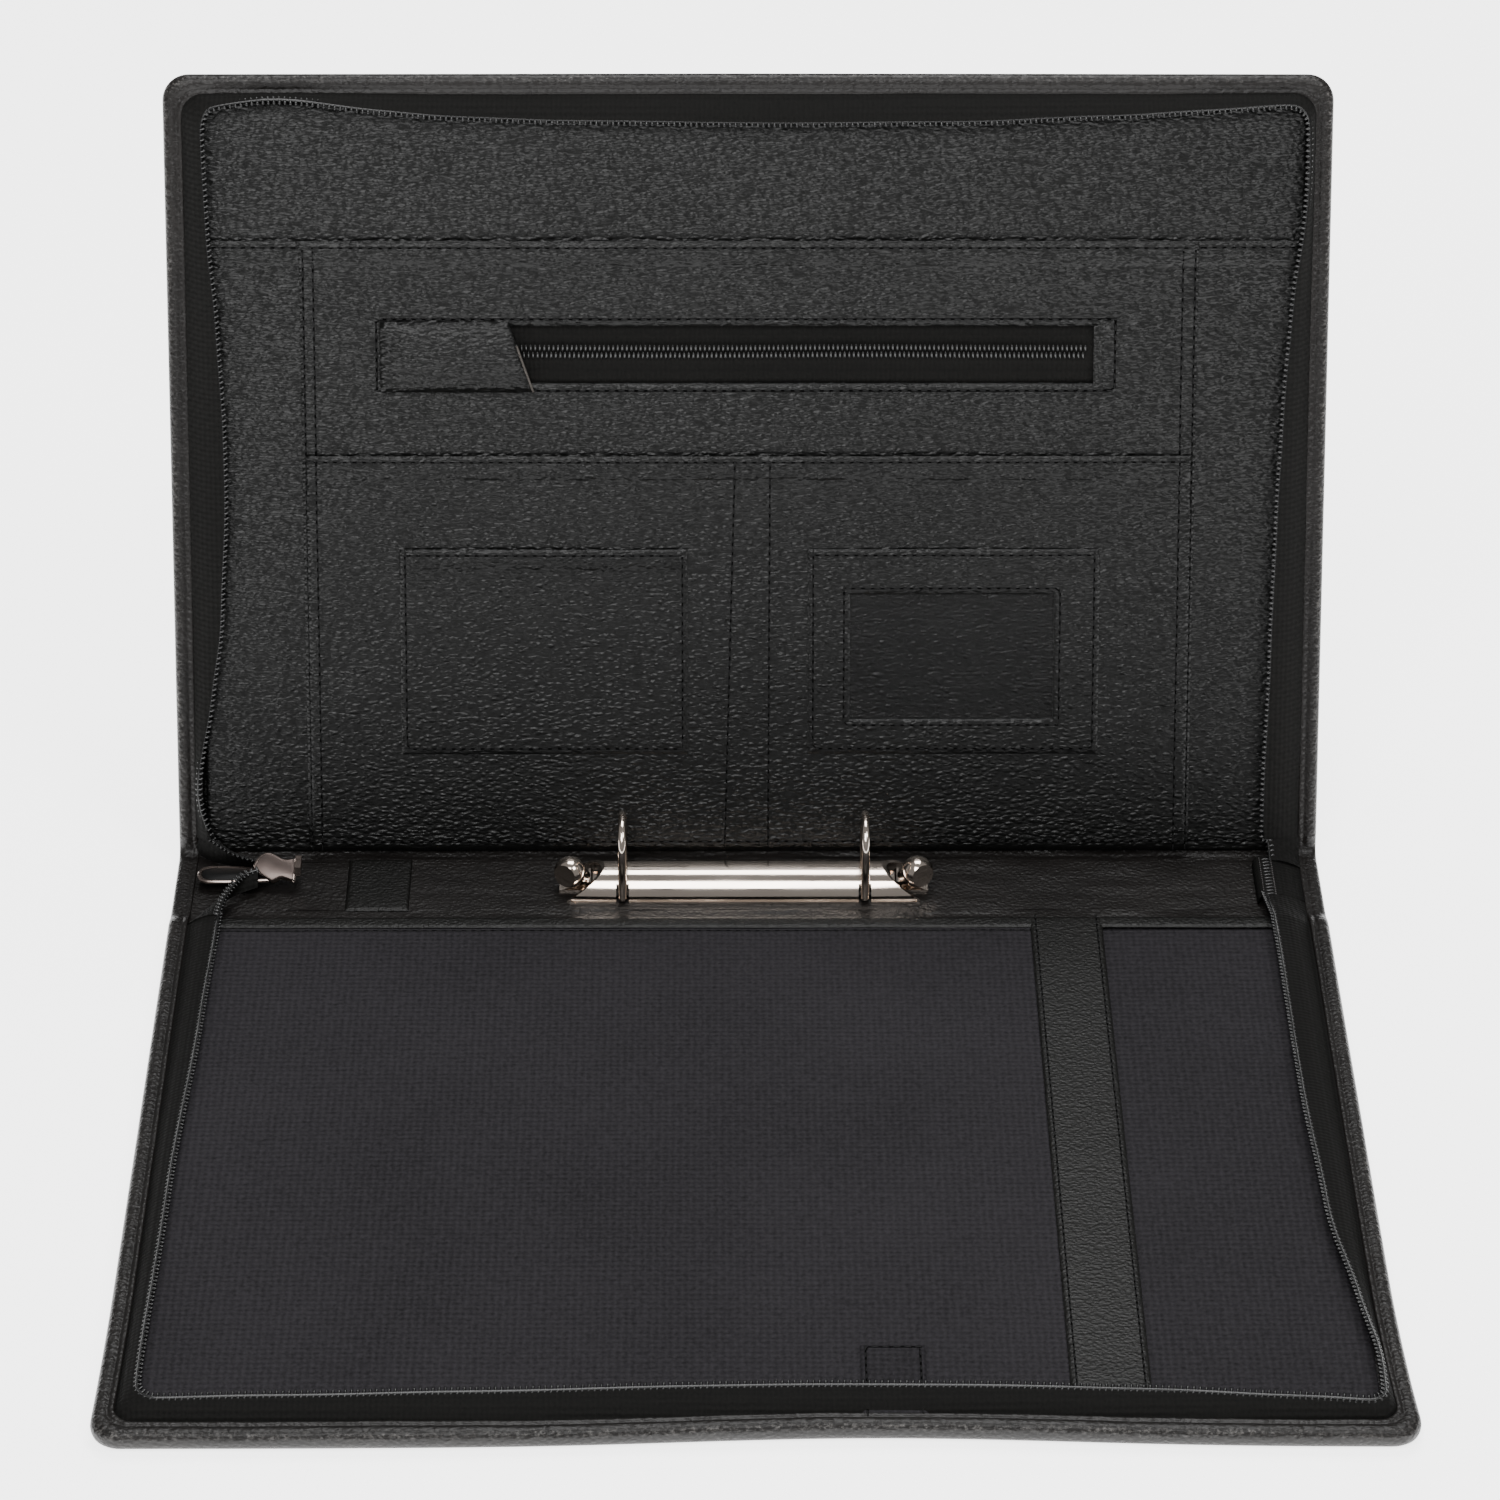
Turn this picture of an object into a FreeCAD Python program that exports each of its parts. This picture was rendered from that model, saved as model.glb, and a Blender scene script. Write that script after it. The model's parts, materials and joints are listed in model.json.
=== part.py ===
import FreeCAD, Part
import math
import os

import Sketcher
from FreeCAD import Matrix, Placement, Rotation, Vector

# Zip-round leather portfolio case, open: the base lies flat, the spine lies flat behind it and
# the lid leans up from the spine's far edge.
# Frame: X to the right, Y from the base towards the spine, Z up. The origin is the middle of the
# base's underside, on the surface that the case lies on. Lengths are in millimetres.

SIZES = [
    ("case_width", 380, "outside width, along the spine"),
    ("panel_depth", 260, "base and lid, from their fold to the far edge"),
    ("spine_width", 40, "from the base's fold to the lid's fold"),
    ("opening", 68.5, "degrees the lid stands above the flat-open position"),
    ("corner", 11, "radius of the four outer corners in plan"),
    ("edge_round", 2, "rounding of the padded outer edge"),
    ("leather", 1.2, "cover leather"),
    ("foam", 1.4, "padding between leather and board"),
    ("board", 1.8, "stiffening board"),
    ("lining", 0.6, "woven or thin leather lining"),
    ("tape", 0.6, "zip tape"),
    ("border", 6.5, "turned leather edge on the inside"),
    ("fold_gap", 7, "soft stretch of each panel beside its fold"),
    ("skin_gap", 0.8, "cover's end to the fold line"),
    ("wall", 1.3, "leather round the edge, outside the board"),
    ("tape_lean", 6, "how far the free tape leans inwards"),
    ("tape_rise", 4.6, "how far the free tape stands up"),
    ("tape_thick_flat", 0.9, "tape measured across, in plan"),
    ("coil_radius", 1.5, "one row of zip coil with its cord"),
    ("pocket_skin", 0.9, "leather of each lid pocket"),
    ("base_skin", 0.7, "woven skin of the base's pocket"),
    ("thin_leather", 0.8, "straps, tabs and card pockets"),
    ("pocket_inset", 11, "pocket edges, in from the outline, clear of the tape"),
    ("strap_left", 92, "strap over the base's pocket, its left edge"),
    ("strap_right", 116, "the same strap, its right edge"),
    ("tab_left", 31.5, "pen tab at the front of the base, its left edge"),
    ("tab_right", 51, "the same tab, its right edge"),
    ("tab_low", 219, "the same tab, from the fold to its free end"),
    ("stiffener", 1, "spine stiffener"),
    ("spine_skin", 0.8, "leather strip inside the spine"),
    ("spine_border", 4, "thickness of the spine's turned ends"),
    ("pocket_top", 207, "document pocket, from the fold to its opening"),
    ("panel_half", 146, "half the width of the organiser panel"),
    ("notes_top", 136, "notes pocket, from the fold to its opening"),
    ("card_low", 36, "card pockets, lower edge from the fold"),
    ("card_high", 105.5, "card pockets, opening from the fold"),
    ("zip_low", 160, "inner zip window, lower edge"),
    ("zip_high", 179, "inner zip window, upper edge"),
    ("zip_left", -119, "inner zip window, closed end"),
    ("zip_right", 114, "inner zip window, other end"),
    ("zip_line", 170.5, "inner zip chain, from the fold"),
    ("zip_skin", 0.4, "tape of the inner zip"),
    ("slider_at", -112, "inner zip slider's middle, across"),
    ("ring_span", 80, "between the two rings, as punched A4 paper"),
    ("ring_radius", 9.3, "ring's round top, centre line of the wire"),
    ("ring_wire", 1.4, "radius of the ring wire"),
    ("ring_rise", 17.2, "centre of the ring's round top, above the spine's lining"),
    ("ring_line", 18.9, "ring mechanism's middle, from the base's fold"),
    ("arch_chord", 19, "cover plate, width over its feet"),
    ("arch_rise", 8, "cover plate, height"),
    ("plate_half", 61, "cover plate, half its length over the tongues"),
    ("arch_half", 47, "half the length of the cover plate's full arch"),
    ("metal", 0.8, "cover plate sheet"),
    ("ring_shift", -1.6, "ring mechanism's middle, left of the case's middle"),
    ("rail_half", 45, "half the length of a ring rail"),
    ("lever_pivot", 51, "lever's pivot from the middle of the mechanism"),
    ("loop_left", -133, "leather loop on the spine, its left edge"),
    ("loop_right", -112, "the same loop, its right edge"),
    ("card_left", -115, "card pocket, its left edge"),
    ("card_right", -20, "the same pocket, its right edge"),
    ("id_left", 19.5, "window pocket, its left edge"),
    ("id_right", 116, "the same pocket, its right edge"),
    ("tail_line", 20, "zip tail's centre line, from the base's fold"),
    ("tail_height", 10.2, "zip tail's mid plane above the table"),
]

doc = FreeCAD.newDocument("portfolio_case")
sheet = doc.addObject("Spreadsheet::Sheet", "sizes")
for row, (alias, value, meaning) in enumerate(SIZES, start=1):
    sheet.set(f"A{row}", meaning)
    sheet.set(f"B{row}", str(value))
    sheet.setAlias(f"B{row}", alias)
doc.recompute()


def size(alias):
    return float(sheet.get(alias))


# Heights inside a panel, measured from its outer face inwards, as sheet expressions.
FOAM_LOW = "sizes.leather"
BOARD_LOW = "sizes.leather + sizes.foam"
LINING_LOW = "sizes.leather + sizes.foam + sizes.board"
INSIDE = "sizes.leather + sizes.foam + sizes.board + sizes.lining"
BORDER_LOW = INSIDE + " + sizes.tape"
PANEL_TOP = BORDER_LOW + " + sizes.leather"
HALF = "sizes.case_width / 2"
DEPTH = "sizes.panel_depth"
inside = sum(size(a) for a in ("leather", "foam", "board", "lining"))
half_width = size("case_width") / 2
depth = size("panel_depth")
fold_y = depth / 2
hinge_height = size("leather") / 2
spine_inside = size("leather") + size("stiffener") + size("spine_skin")

# Each panel is modelled in its own frame: x across, y from its fold, z from its outer face inwards.
spine_place = Placement(Vector(0, fold_y, 0), Rotation())
base_place = Placement(Vector(0, fold_y, 0), Rotation(Vector(0, 0, 1), 180))
lid_fold = Vector(0, fold_y + size("spine_width"), hinge_height)
lid_turn = Rotation(Vector(1, 0, 0), size("opening"))
lid_place = Placement(lid_fold - lid_turn.multVec(Vector(0, 0, hinge_height)), lid_turn)

parts = []


def keep(thing, label, place=None):
    """Make an object a sub-part: its label names its node, and place puts it in the case."""
    thing.Label = label
    if place is not None:
        thing.Placement = place.multiply(thing.Placement)
    parts.append(thing)
    return thing


def plane(body, role):
    return next(f for f in body.Origin.OriginFeatures if f.Role == role)


def rectangle(body, name, x_low, x_high, y_low, y_high, height):
    """A sketch of one rectangle on the body's XY plane, lifted to height; all sizes are expressions.
    It starts as a square of any size, which the four constraints then move."""
    sketch = body.newObject("Sketcher::SketchObject", name)
    sketch.AttachmentSupport = [(plane(body, "XY_Plane"), "")]
    sketch.MapMode = "FlatFace"
    sketch.setExpression("AttachmentOffset.Base.z", height)
    start = 10
    corners = [Vector(x * start, y * start, 0) for x, y in ((-1, -1), (1, -1), (1, 1), (-1, 1))]
    for i in range(4):
        sketch.addGeometry(Part.LineSegment(corners[i], corners[(i + 1) % 4]), False)
    for i in range(4):
        sketch.addConstraint(Sketcher.Constraint("Coincident", i, 2, (i + 1) % 4, 1))
    for i, kind in enumerate(("Horizontal", "Vertical", "Horizontal", "Vertical")):
        sketch.addConstraint(Sketcher.Constraint(kind, i))
    limits = [("DistanceX", 0, -start, x_low), ("DistanceX", 2, start, x_high),
              ("DistanceY", 0, -start, y_low), ("DistanceY", 2, start, y_high)]
    for kind, line, value, expression in limits:
        index = sketch.addConstraint(Sketcher.Constraint(kind, -1, 1, line, 1, value))
        sketch.setExpression(f"Constraints[{index}]", expression)
    return sketch


def pad(body, sketch, thickness):
    feature = body.newObject("PartDesign::Pad", sketch.Name + "_pad")
    feature.Profile = sketch
    feature.setExpression("Length", thickness)
    return feature


def pocket(body, sketch, thickness):
    """Cut upwards from the sketch, and make sure that it really cuts."""
    doc.recompute()
    before = body.Shape.Volume
    feature = body.newObject("PartDesign::Pocket", sketch.Name + "_cut")
    feature.Profile = sketch
    feature.Reversed = True
    feature.setExpression("Length", thickness)
    doc.recompute()
    if not body.Shape.Volume < before - 0.001:
        raise RuntimeError(f"{sketch.Name} cuts nothing")
    return feature


def round_edges(body, name, radius, wanted):
    """Fillet the edges for which wanted(edge) is true."""
    doc.recompute()
    base = body.Tip
    edges = [f"Edge{i}" for i, e in enumerate(base.Shape.Edges, start=1) if wanted(e)]
    if not edges:
        raise RuntimeError(f"{name} finds no edge")
    feature = body.newObject("PartDesign::Fillet", name)
    feature.Base = (base, edges)
    feature.setExpression("Radius", radius)
    return feature


def upright_at(body, side="YMax"):
    """Tests for a vertical edge on one side of the body."""
    limit = getattr(body.Shape.BoundBox, side)

    def test(edge):
        box = edge.BoundBox
        upright = box.XLength < 0.01 and box.YLength < 0.01
        return upright and abs(getattr(box, side) - limit) < 0.01
    return test


def slab(label, place, x_low, x_high, y_low, y_high, height, thickness, corner=None, rounded_side="YMax"):
    """A flat piece with, where corner is given, the two corners on one side rounded."""
    body = doc.addObject("PartDesign::Body", label)
    pad(body, rectangle(body, label + "_outline", x_low, x_high, y_low, y_high, height), thickness)
    doc.recompute()
    if corner:
        round_edges(body, label + "_corners", corner, upright_at(body, rounded_side))
    return keep(body, label, place)


def window(body, x_low, x_high, y_low, y_high):
    """An opening right through a slab."""
    name = body.Name + "_window"
    sketch = rectangle(body, name, x_low, x_high, y_low, y_high, "-1")
    return pocket(body, sketch, "50")


# ---------------------------------------------------------------- base and lid shells

TAPE_CORNER = 5.0       # corner radius of the tape's outer face, at its foot
TAPE_SPREAD = 3         # and how much larger at its free edge
COIL_CORNER = 8
FLANGE = 3              # the tape's flange reaches this far under the border
PAST_FOLD = -30.0       # closed loops run on this far past the fold, then are cut back
ZIP_START = 2           # the zip starts this far beyond the soft stretch

def cover(label, place):
    """The leather shell: outer skin, edge wall and the turned border on three sides."""
    body = doc.addObject("PartDesign::Body", label)
    outline = rectangle(body, label + "_outline", "-" + HALF, HALF, "sizes.skin_gap", DEPTH, "0")
    pad(body, outline, PANEL_TOP)
    doc.recompute()
    round_edges(body, label + "_corners", "sizes.corner", upright_at(body))
    doc.recompute()
    top = body.Shape.BoundBox.ZMax

    def rim(edge):
        box = edge.BoundBox
        flat = box.ZLength < 0.01 and (box.ZMin < 0.01 or box.ZMin > top - 0.01)
        return flat and not (box.YMax < size("skin_gap") + 0.01)

    round_edges(body, label + "_soft_edge", "sizes.edge_round", rim)
    inner, far = f"{HALF} - sizes.border", f"{DEPTH} - sizes.border"
    opening = rectangle(body, label + "_opening", f"-({inner})", inner, "-5", far, BOARD_LOW)
    pocket(body, opening, "20")
    inner, far = f"{HALF} - sizes.wall", f"{DEPTH} - sizes.wall"
    hollow = rectangle(body, label + "_hollow", f"-({inner})", inner, "-5", far, FOAM_LOW)
    pocket(body, hollow, f"{BORDER_LOW} - sizes.leather")
    wide = f"{HALF} + 5"
    relief = rectangle(body, label + "_fold", f"-({wide})", wide, "-5", "sizes.fold_gap", FOAM_LOW)
    pocket(body, relief, "20")
    return keep(body, label, place)


def filling(label, place, low, thickness):
    """A sheet that fills the shell from wall to wall."""
    reach = f"({HALF} - sizes.wall)"
    return slab(label, place, "-" + reach, reach, "sizes.fold_gap", f"{DEPTH} - sizes.wall",
                low, thickness, "sizes.corner - sizes.wall")


def rounded_loop(inset, height, radius):
    """A closed rounded rectangle round a panel, inset from its outline; it runs past the fold."""
    x, far, near = half_width - inset, depth - inset, PAST_FOLD
    points = [Vector(-x, near, height), Vector(-x, far - radius, height),
              Vector(-x + radius, far, height), Vector(x - radius, far, height),
              Vector(x, far - radius, height), Vector(x, near, height)]
    turn = radius * (1 - math.sqrt(0.5))
    left = Part.Arc(points[1], Vector(-x + turn, far - turn, height), points[2]).toShape()
    right = Part.Arc(points[3], Vector(x - turn, far - turn, height), points[4]).toShape()
    lines = [Part.makeLine(points[0], points[1]), left, Part.makeLine(points[2], points[3]),
             right, Part.makeLine(points[4], points[5])]
    return lines, Part.makeLine(points[5], points[0])


def beyond_fold():
    """The room over a panel where its zip runs."""
    return Part.makeBox(2 * half_width, depth, half_width,
                        Vector(-half_width, size("fold_gap") + ZIP_START, 0))


def zip_tape(label, place):
    """The zip tape: a flange under the border, and the free part that leans inwards round the panel."""
    inset, lean, thick = size("border") + 0.1, size("tape_lean"), size("tape_thick_flat")
    low, high = inside, inside + size("tape_rise")
    walls = []
    for step, corner_low in ((0, TAPE_CORNER), (thick, TAPE_CORNER - 0.5)):
        rings = []
        for extra, height, radius in ((0, low, corner_low), (lean, high, corner_low + TAPE_SPREAD)):
            lines, back = rounded_loop(inset + step + extra, height, radius)
            rings.append(Part.Wire(lines + [back]))
        walls.append(Part.makeLoft(rings, True, True))
    free = walls[0].cut(walls[1])
    lines, back = rounded_loop(size("border") - FLANGE, low, COIL_CORNER)
    outer = Part.Face(Part.Wire(lines + [back])).extrude(Vector(0, 0, size("tape")))
    lines, back = rounded_loop(inset + 0.5, low, TAPE_CORNER)
    inner = Part.Face(Part.Wire(lines + [back])).extrude(Vector(0, 0, size("tape")))
    feature = doc.addObject("Part::Feature", label)
    feature.Shape = free.fuse(outer.cut(inner)).common(beyond_fold()).removeSplitter()
    return keep(feature, label, place)


def zip_chain(label, place):
    """One row of the zip's coil, along the free edge of the tape."""
    inset = size("border") + size("tape_lean") + 0.5
    height = inside + size("tape_rise") + size("coil_radius")
    lines, _ = rounded_loop(inset, height, COIL_CORNER)
    path = Part.Wire(lines)
    profile = Part.Wire(Part.makeCircle(size("coil_radius"), Vector(inset - half_width, PAST_FOLD, height),
                                        Vector(0, 1, 0)))
    tube = path.makePipeShell([profile], True, True)
    feature = doc.addObject("Part::Feature", label)
    feature.Shape = tube.common(beyond_fold())
    return keep(feature, label, place)


for name, place in (("base", base_place), ("lid", lid_place)):
    cover(name + "_cover", place)
    filling(name + "_padding", place, FOAM_LOW, "sizes.foam")
    filling(name + "_board", place, BOARD_LOW, "sizes.board")
    filling(name + "_lining", place, LINING_LOW, "sizes.lining")
    zip_tape(name + "_zip_tape", place)
    zip_chain(name + "_zip_chain", place)

# ---------------------------------------------------------------- inside the base
# The base's frame is turned half round, so its x runs to the left of the case.

ON_POCKET = f"{INSIDE} + sizes.base_skin"
NEAR_FOLD = "sizes.fold_gap + 1"

slab("base_pocket", base_place, "-sizes.strap_right + 8", f"{HALF} - sizes.pocket_inset",
     NEAR_FOLD, f"{DEPTH} - sizes.pocket_inset", INSIDE, "sizes.base_skin")
slab("base_pocket_trim", base_place, "-sizes.strap_right", "-sizes.strap_left",
     NEAR_FOLD, f"{DEPTH} - sizes.pocket_inset", ON_POCKET, "sizes.thin_leather")
slab("base_pen_tab", base_place, "-sizes.tab_right", "-sizes.tab_left", "sizes.tab_low",
     f"{DEPTH} - sizes.pocket_inset", ON_POCKET, "sizes.thin_leather")

# ---------------------------------------------------------------- inside the lid

FIRST = INSIDE
SECOND = f"{INSIDE} + sizes.pocket_skin"
THIRD = f"{INSIDE} + 2 * sizes.pocket_skin"
FOURTH = f"{INSIDE} + 3 * sizes.pocket_skin"

document_pocket = slab("document_pocket", lid_place, f"-({HALF} - sizes.pocket_inset)",
                       f"{HALF} - sizes.pocket_inset", NEAR_FOLD, "sizes.pocket_top", FIRST,
                       "sizes.pocket_skin")
organiser_panel = slab("organiser_panel", lid_place, "-sizes.panel_half", "sizes.panel_half",
                       NEAR_FOLD, "sizes.pocket_top - 1", SECOND, "sizes.pocket_skin")
for body in (document_pocket, organiser_panel):
    window(body, "sizes.zip_left", "sizes.zip_right", "sizes.zip_low", "sizes.zip_high")
slab("notes_pocket", lid_place, "-sizes.panel_half + 1", "sizes.panel_half - 1",
     NEAR_FOLD, "sizes.notes_top", THIRD, "sizes.pocket_skin")
slab("card_pocket", lid_place, "sizes.card_left", "sizes.card_right", "sizes.card_low",
     "sizes.card_high", FOURTH, "sizes.thin_leather")
id_pocket = slab("id_pocket", lid_place, "sizes.id_left", "sizes.id_right", "sizes.card_low",
                 "sizes.card_high", FOURTH, "sizes.thin_leather")
ID_WINDOW = ("33.5", "101", "48", "90")
window(id_pocket, *ID_WINDOW)
slab("id_window", lid_place, *ID_WINDOW, FOURTH, "0.3")

# The inner zip lies in the window: a tape, its chain, a slider with its pull, and a leather patch
# over the closed end, where the slider is parked.
ON_TAPE = f"{FIRST} + sizes.zip_skin"
slab("inner_zip_tape", lid_place, "sizes.zip_left", "sizes.zip_right", "sizes.zip_low",
     "sizes.zip_high", FIRST, "sizes.zip_skin")
slab("inner_zip_chain", lid_place, "sizes.zip_left + 1", "sizes.zip_right - 1",
     "sizes.zip_line - 2.3", "sizes.zip_line + 2.3", ON_TAPE, "1.8")
slab("inner_zip_end_tab", lid_place, "sizes.zip_right - 1", "sizes.zip_right + 6",
     "sizes.zip_low - 1", "sizes.zip_high", THIRD, "sizes.zip_skin")


GARAGE_TOP, GARAGE_LOW = 43, 51     # the patch's free edge from the closed end, above and below
GARAGE_RISE = 4.5       # its height above the lining
GARAGE_SKIN = 0.7
SLIDER_REACH = 5        # half the inner slider's length
SLIDER_REST = 3.7       # half its width
SLIDER_RISE = 2.6
SLIDER_ROUND = 2.5      # its nose
ROOM_FOR_CHAIN = 2.6    # half the width of its channel
PULL_REACH = 28         # the inner pull's end, from the slider's middle
PULL_HALF = 3


def garage_patch():
    """A domed leather patch with a slanting free edge: stitched legs, open towards the zip."""
    left, near, far = (size("zip_left") + reach for reach in (-1, GARAGE_TOP, GARAGE_LOW))
    low, high = size("zip_low") - 2.5, size("zip_high") + 1.5
    foot, top = inside + 2 * size("pocket_skin"), inside + GARAGE_RISE
    outline = [Vector(left, low, foot), Vector(far, low, foot),
               Vector(near, high, foot), Vector(left, high, foot)]
    block = Part.Face(Part.makePolygon(outline + outline[:1])).extrude(Vector(0, 0, top - foot))
    under = Part.makeBox(2 * GARAGE_LOW, high - low - 2, top - foot - GARAGE_SKIN,
                         Vector(left + 1.5, low + 1, foot))
    feature = doc.addObject("Part::Feature", "inner_zip_garage")
    feature.Shape = block.cut(under)
    return keep(feature, "inner_zip_garage", lid_place)


garage_patch()

slider = doc.addObject("PartDesign::Body", "inner_zip_slider")
outline = rectangle(slider, "inner_slider_outline", f"sizes.slider_at - {SLIDER_REACH}",
                    f"sizes.slider_at + {SLIDER_REACH}", f"sizes.zip_line - {SLIDER_REST}",
                    f"sizes.zip_line + {SLIDER_REST}", f"{ON_TAPE} + 0.3")
pad(slider, outline, str(SLIDER_RISE))
round_edges(slider, "inner_slider_nose", str(SLIDER_ROUND),
            lambda e: e.BoundBox.ZLength > 2 and e.BoundBox.XMax < size("zip_left") + SLIDER_REACH)
channel = rectangle(slider, "inner_slider_channel", f"sizes.slider_at - {2 * SLIDER_REACH}",
                    f"sizes.slider_at + {2 * SLIDER_REACH}", f"sizes.zip_line - {ROOM_FOR_CHAIN}",
                    f"sizes.zip_line + {ROOM_FOR_CHAIN}", FIRST)
pocket(slider, channel, "sizes.zip_skin + 2.1")
keep(slider, "inner_zip_slider", lid_place)
slab("inner_zip_pull", lid_place, f"sizes.slider_at + {SLIDER_REACH}", f"sizes.slider_at + {PULL_REACH}",
     f"sizes.zip_line - {PULL_HALF}", f"sizes.zip_line + {PULL_HALF}", f"{ON_TAPE} + 2.1", "0.9",
     str(SLIDER_ROUND), "XMax")

# ---------------------------------------------------------------- spine

spine = doc.addObject("PartDesign::Body", "spine_cover")
SPINE_FAR = "sizes.spine_width - sizes.skin_gap"
pad(spine, rectangle(spine, "spine_outline", "-" + HALF, HALF, "sizes.skin_gap", SPINE_FAR, "0"),
    "sizes.spine_border")
inner = f"{HALF} - sizes.border"
pocket(spine, rectangle(spine, "spine_opening", f"-({inner})", inner, "-5",
                        "sizes.spine_width + 5", FOAM_LOW), "20")
for end, low, high in (("front", "-5", "3"), ("rear", "sizes.spine_width - 3", "sizes.spine_width + 5")):
    pocket(spine, rectangle(spine, f"spine_{end}_fold", f"-{HALF} - 5", f"{HALF} + 5", low, high,
                            FOAM_LOW), "20")
round_edges(spine, "spine_soft_ends", "sizes.edge_round",
            lambda e: e.BoundBox.ZLength < 0.01 and e.BoundBox.XLength < 0.01
            and e.BoundBox.ZMin > size("spine_border") - 0.01
            and abs(abs(e.BoundBox.XMin) - half_width) < 0.01)
keep(spine, "spine_cover", spine_place)
slab("spine_stiffener", spine_place, f"-({inner})", inner, "2.5", "sizes.spine_width - 2.5",
     FOAM_LOW, "sizes.stiffener")
slab("spine_lining", spine_place, f"-({inner})", inner, "2", "sizes.spine_width - 2",
     "sizes.leather + sizes.stiffener", "sizes.spine_skin")
SPINE_IN = "sizes.leather + sizes.stiffener + sizes.spine_skin"
slab("pen_loop", spine_place, "sizes.loop_left", "sizes.loop_right", "4", "sizes.spine_width - 4",
     SPINE_IN, "sizes.leather")

# ---------------------------------------------------------------- ring mechanism
# Its own frame: the middle of the mechanism, on the spine's lining.

ring_place = spine_place.multiply(Placement(Vector(size("ring_shift"), size("ring_line"), spine_inside),
                                            Rotation()))
arch_radius = (size("arch_chord") ** 2 / 4 + size("arch_rise") ** 2) / (2 * size("arch_rise"))
ARCH = "(sizes.arch_chord^2 / 4 + sizes.arch_rise^2) / (2 * sizes.arch_rise)"
along_x = Rotation(Vector(0, 1, 0), 90)
ENDS = (("left", -1), ("right", 1))
EDGES = (("front", -1), ("rear", 1))

END_SLOPE = 33          # degrees, the arch's ends down to the tongues
SIDE_FOOT = 1.8         # width of the foot along each side of the plate
SIDE_FOOT_HEIGHT = 0.7
SIDE_FOOT_OUT = 0.3     # the foot's middle beyond the arch's edge
FOOT_INSET = 4          # the foot stops short of the tongue's end
TONGUE = 12             # length of the flat tongue at each end
TONGUE_WIDTH = 8
TONGUE_HEIGHT = 0.8
RING_SLOT = 4.2         # length of the slot that each half ring swings in
RING_SLOT_WIDTH = 7
RING_SLOT_LINE = 10.3   # the slot's middle, from the middle of the plate
RING_SLOT_HIGH = 5.2    # the slot's top above the lining

WIRE_HEIGHT = 1.6       # middle of the rings' feet and of the rails
FOOT_START = 7.4        # inner end of a ring's foot, from the middle
TIP_GAP = 0.15          # half the gap between closed ring tips
RAIL_WIDTH = 7
RAIL_HEIGHT = 1.1
RAIL_GAP = 0.3          # from the middle to a rail's inner edge
POST_AT = 20            # the mounting posts, from the middle of the mechanism
POST = 1.5              # a post's radius
POST_CLEAR = 2.3        # radius of the rails' notches round the posts
POST_SHORT = 0.3        # a post ends this far below the plate

PIVOT_HEIGHT = 3.0
BOSS = 1.2              # radius of a lever's pivot boss
BOSS_LENGTH = 8
ARM = (9, 6, 1.2)       # a lever's arm: length, width and thickness
ARM_OUT = 2             # the arm's middle, outwards from the pivot
NECK = 2.4              # radius of the neck
NECK_OUT = 1.5          # where the neck starts, outwards from the pivot
KNOB = 5.3              # radius of the knob
KNOB_OUT = 6.4          # the knob's middle, from the pivot: outwards, forward and up
KNOB_FORWARD = 2.5
KNOB_LIFT = 4.2
KNOB_FLAT = 0.68        # the flat thumb face, as a share of the knob's radius
KNOB_FACING = (0.45, -0.85, 0.1)    # its direction: outwards, forward and up


def block(name, x, y, z, length, width, height):
    """A box between expressions or numbers, used as a tool or a simple piece."""
    box = doc.addObject("Part::Box", name)
    for prop, value in (("Placement.Base.x", x), ("Placement.Base.y", y), ("Placement.Base.z", z),
                        ("Length", length), ("Width", width), ("Height", height)):
        box.setExpression(prop, str(value))
    return box


def box(name, x, y, z, length, width, height):
    """A plain box from its lowest corner, which keep() can move."""
    solid = doc.addObject("Part::Box", name)
    solid.Length, solid.Width, solid.Height = length, width, height
    solid.Placement = Placement(Vector(x, y, z), Rotation())
    return solid


def rod(name, radius, length, place):
    bar = doc.addObject("Part::Cylinder", name)
    bar.setExpression("Radius", str(radius))
    bar.setExpression("Height", str(length))
    bar.Placement = place
    return bar


def cut(name, base, tool):
    result = doc.addObject("Part::Cut", name)
    result.Base, result.Tool = base, tool
    return result


def fuse(name, shapes):
    result = doc.addObject("Part::MultiFuse", name)
    result.Shapes = shapes
    return result


def end_slope(end, side):
    """A box whose lower face slopes from the arch's ridge down to the tongue."""
    length, width, height = 40, 30, 20
    slope = doc.addObject("Part::Box", f"arch_end_{end}")
    slope.Length, slope.Width, slope.Height = length, width, height
    turn = Rotation(Vector(0, 1, 0), END_SLOPE if side > 0 else 180 - END_SLOPE)
    corner = Vector(0, 0, 0) if side > 0 else turn.multVec(Vector(0, 0, -height))
    ridge = Vector(side * (size("arch_half") - 1), -width / 2, size("arch_rise"))
    slope.Placement = Placement(ridge + corner, turn)
    return slope


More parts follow.
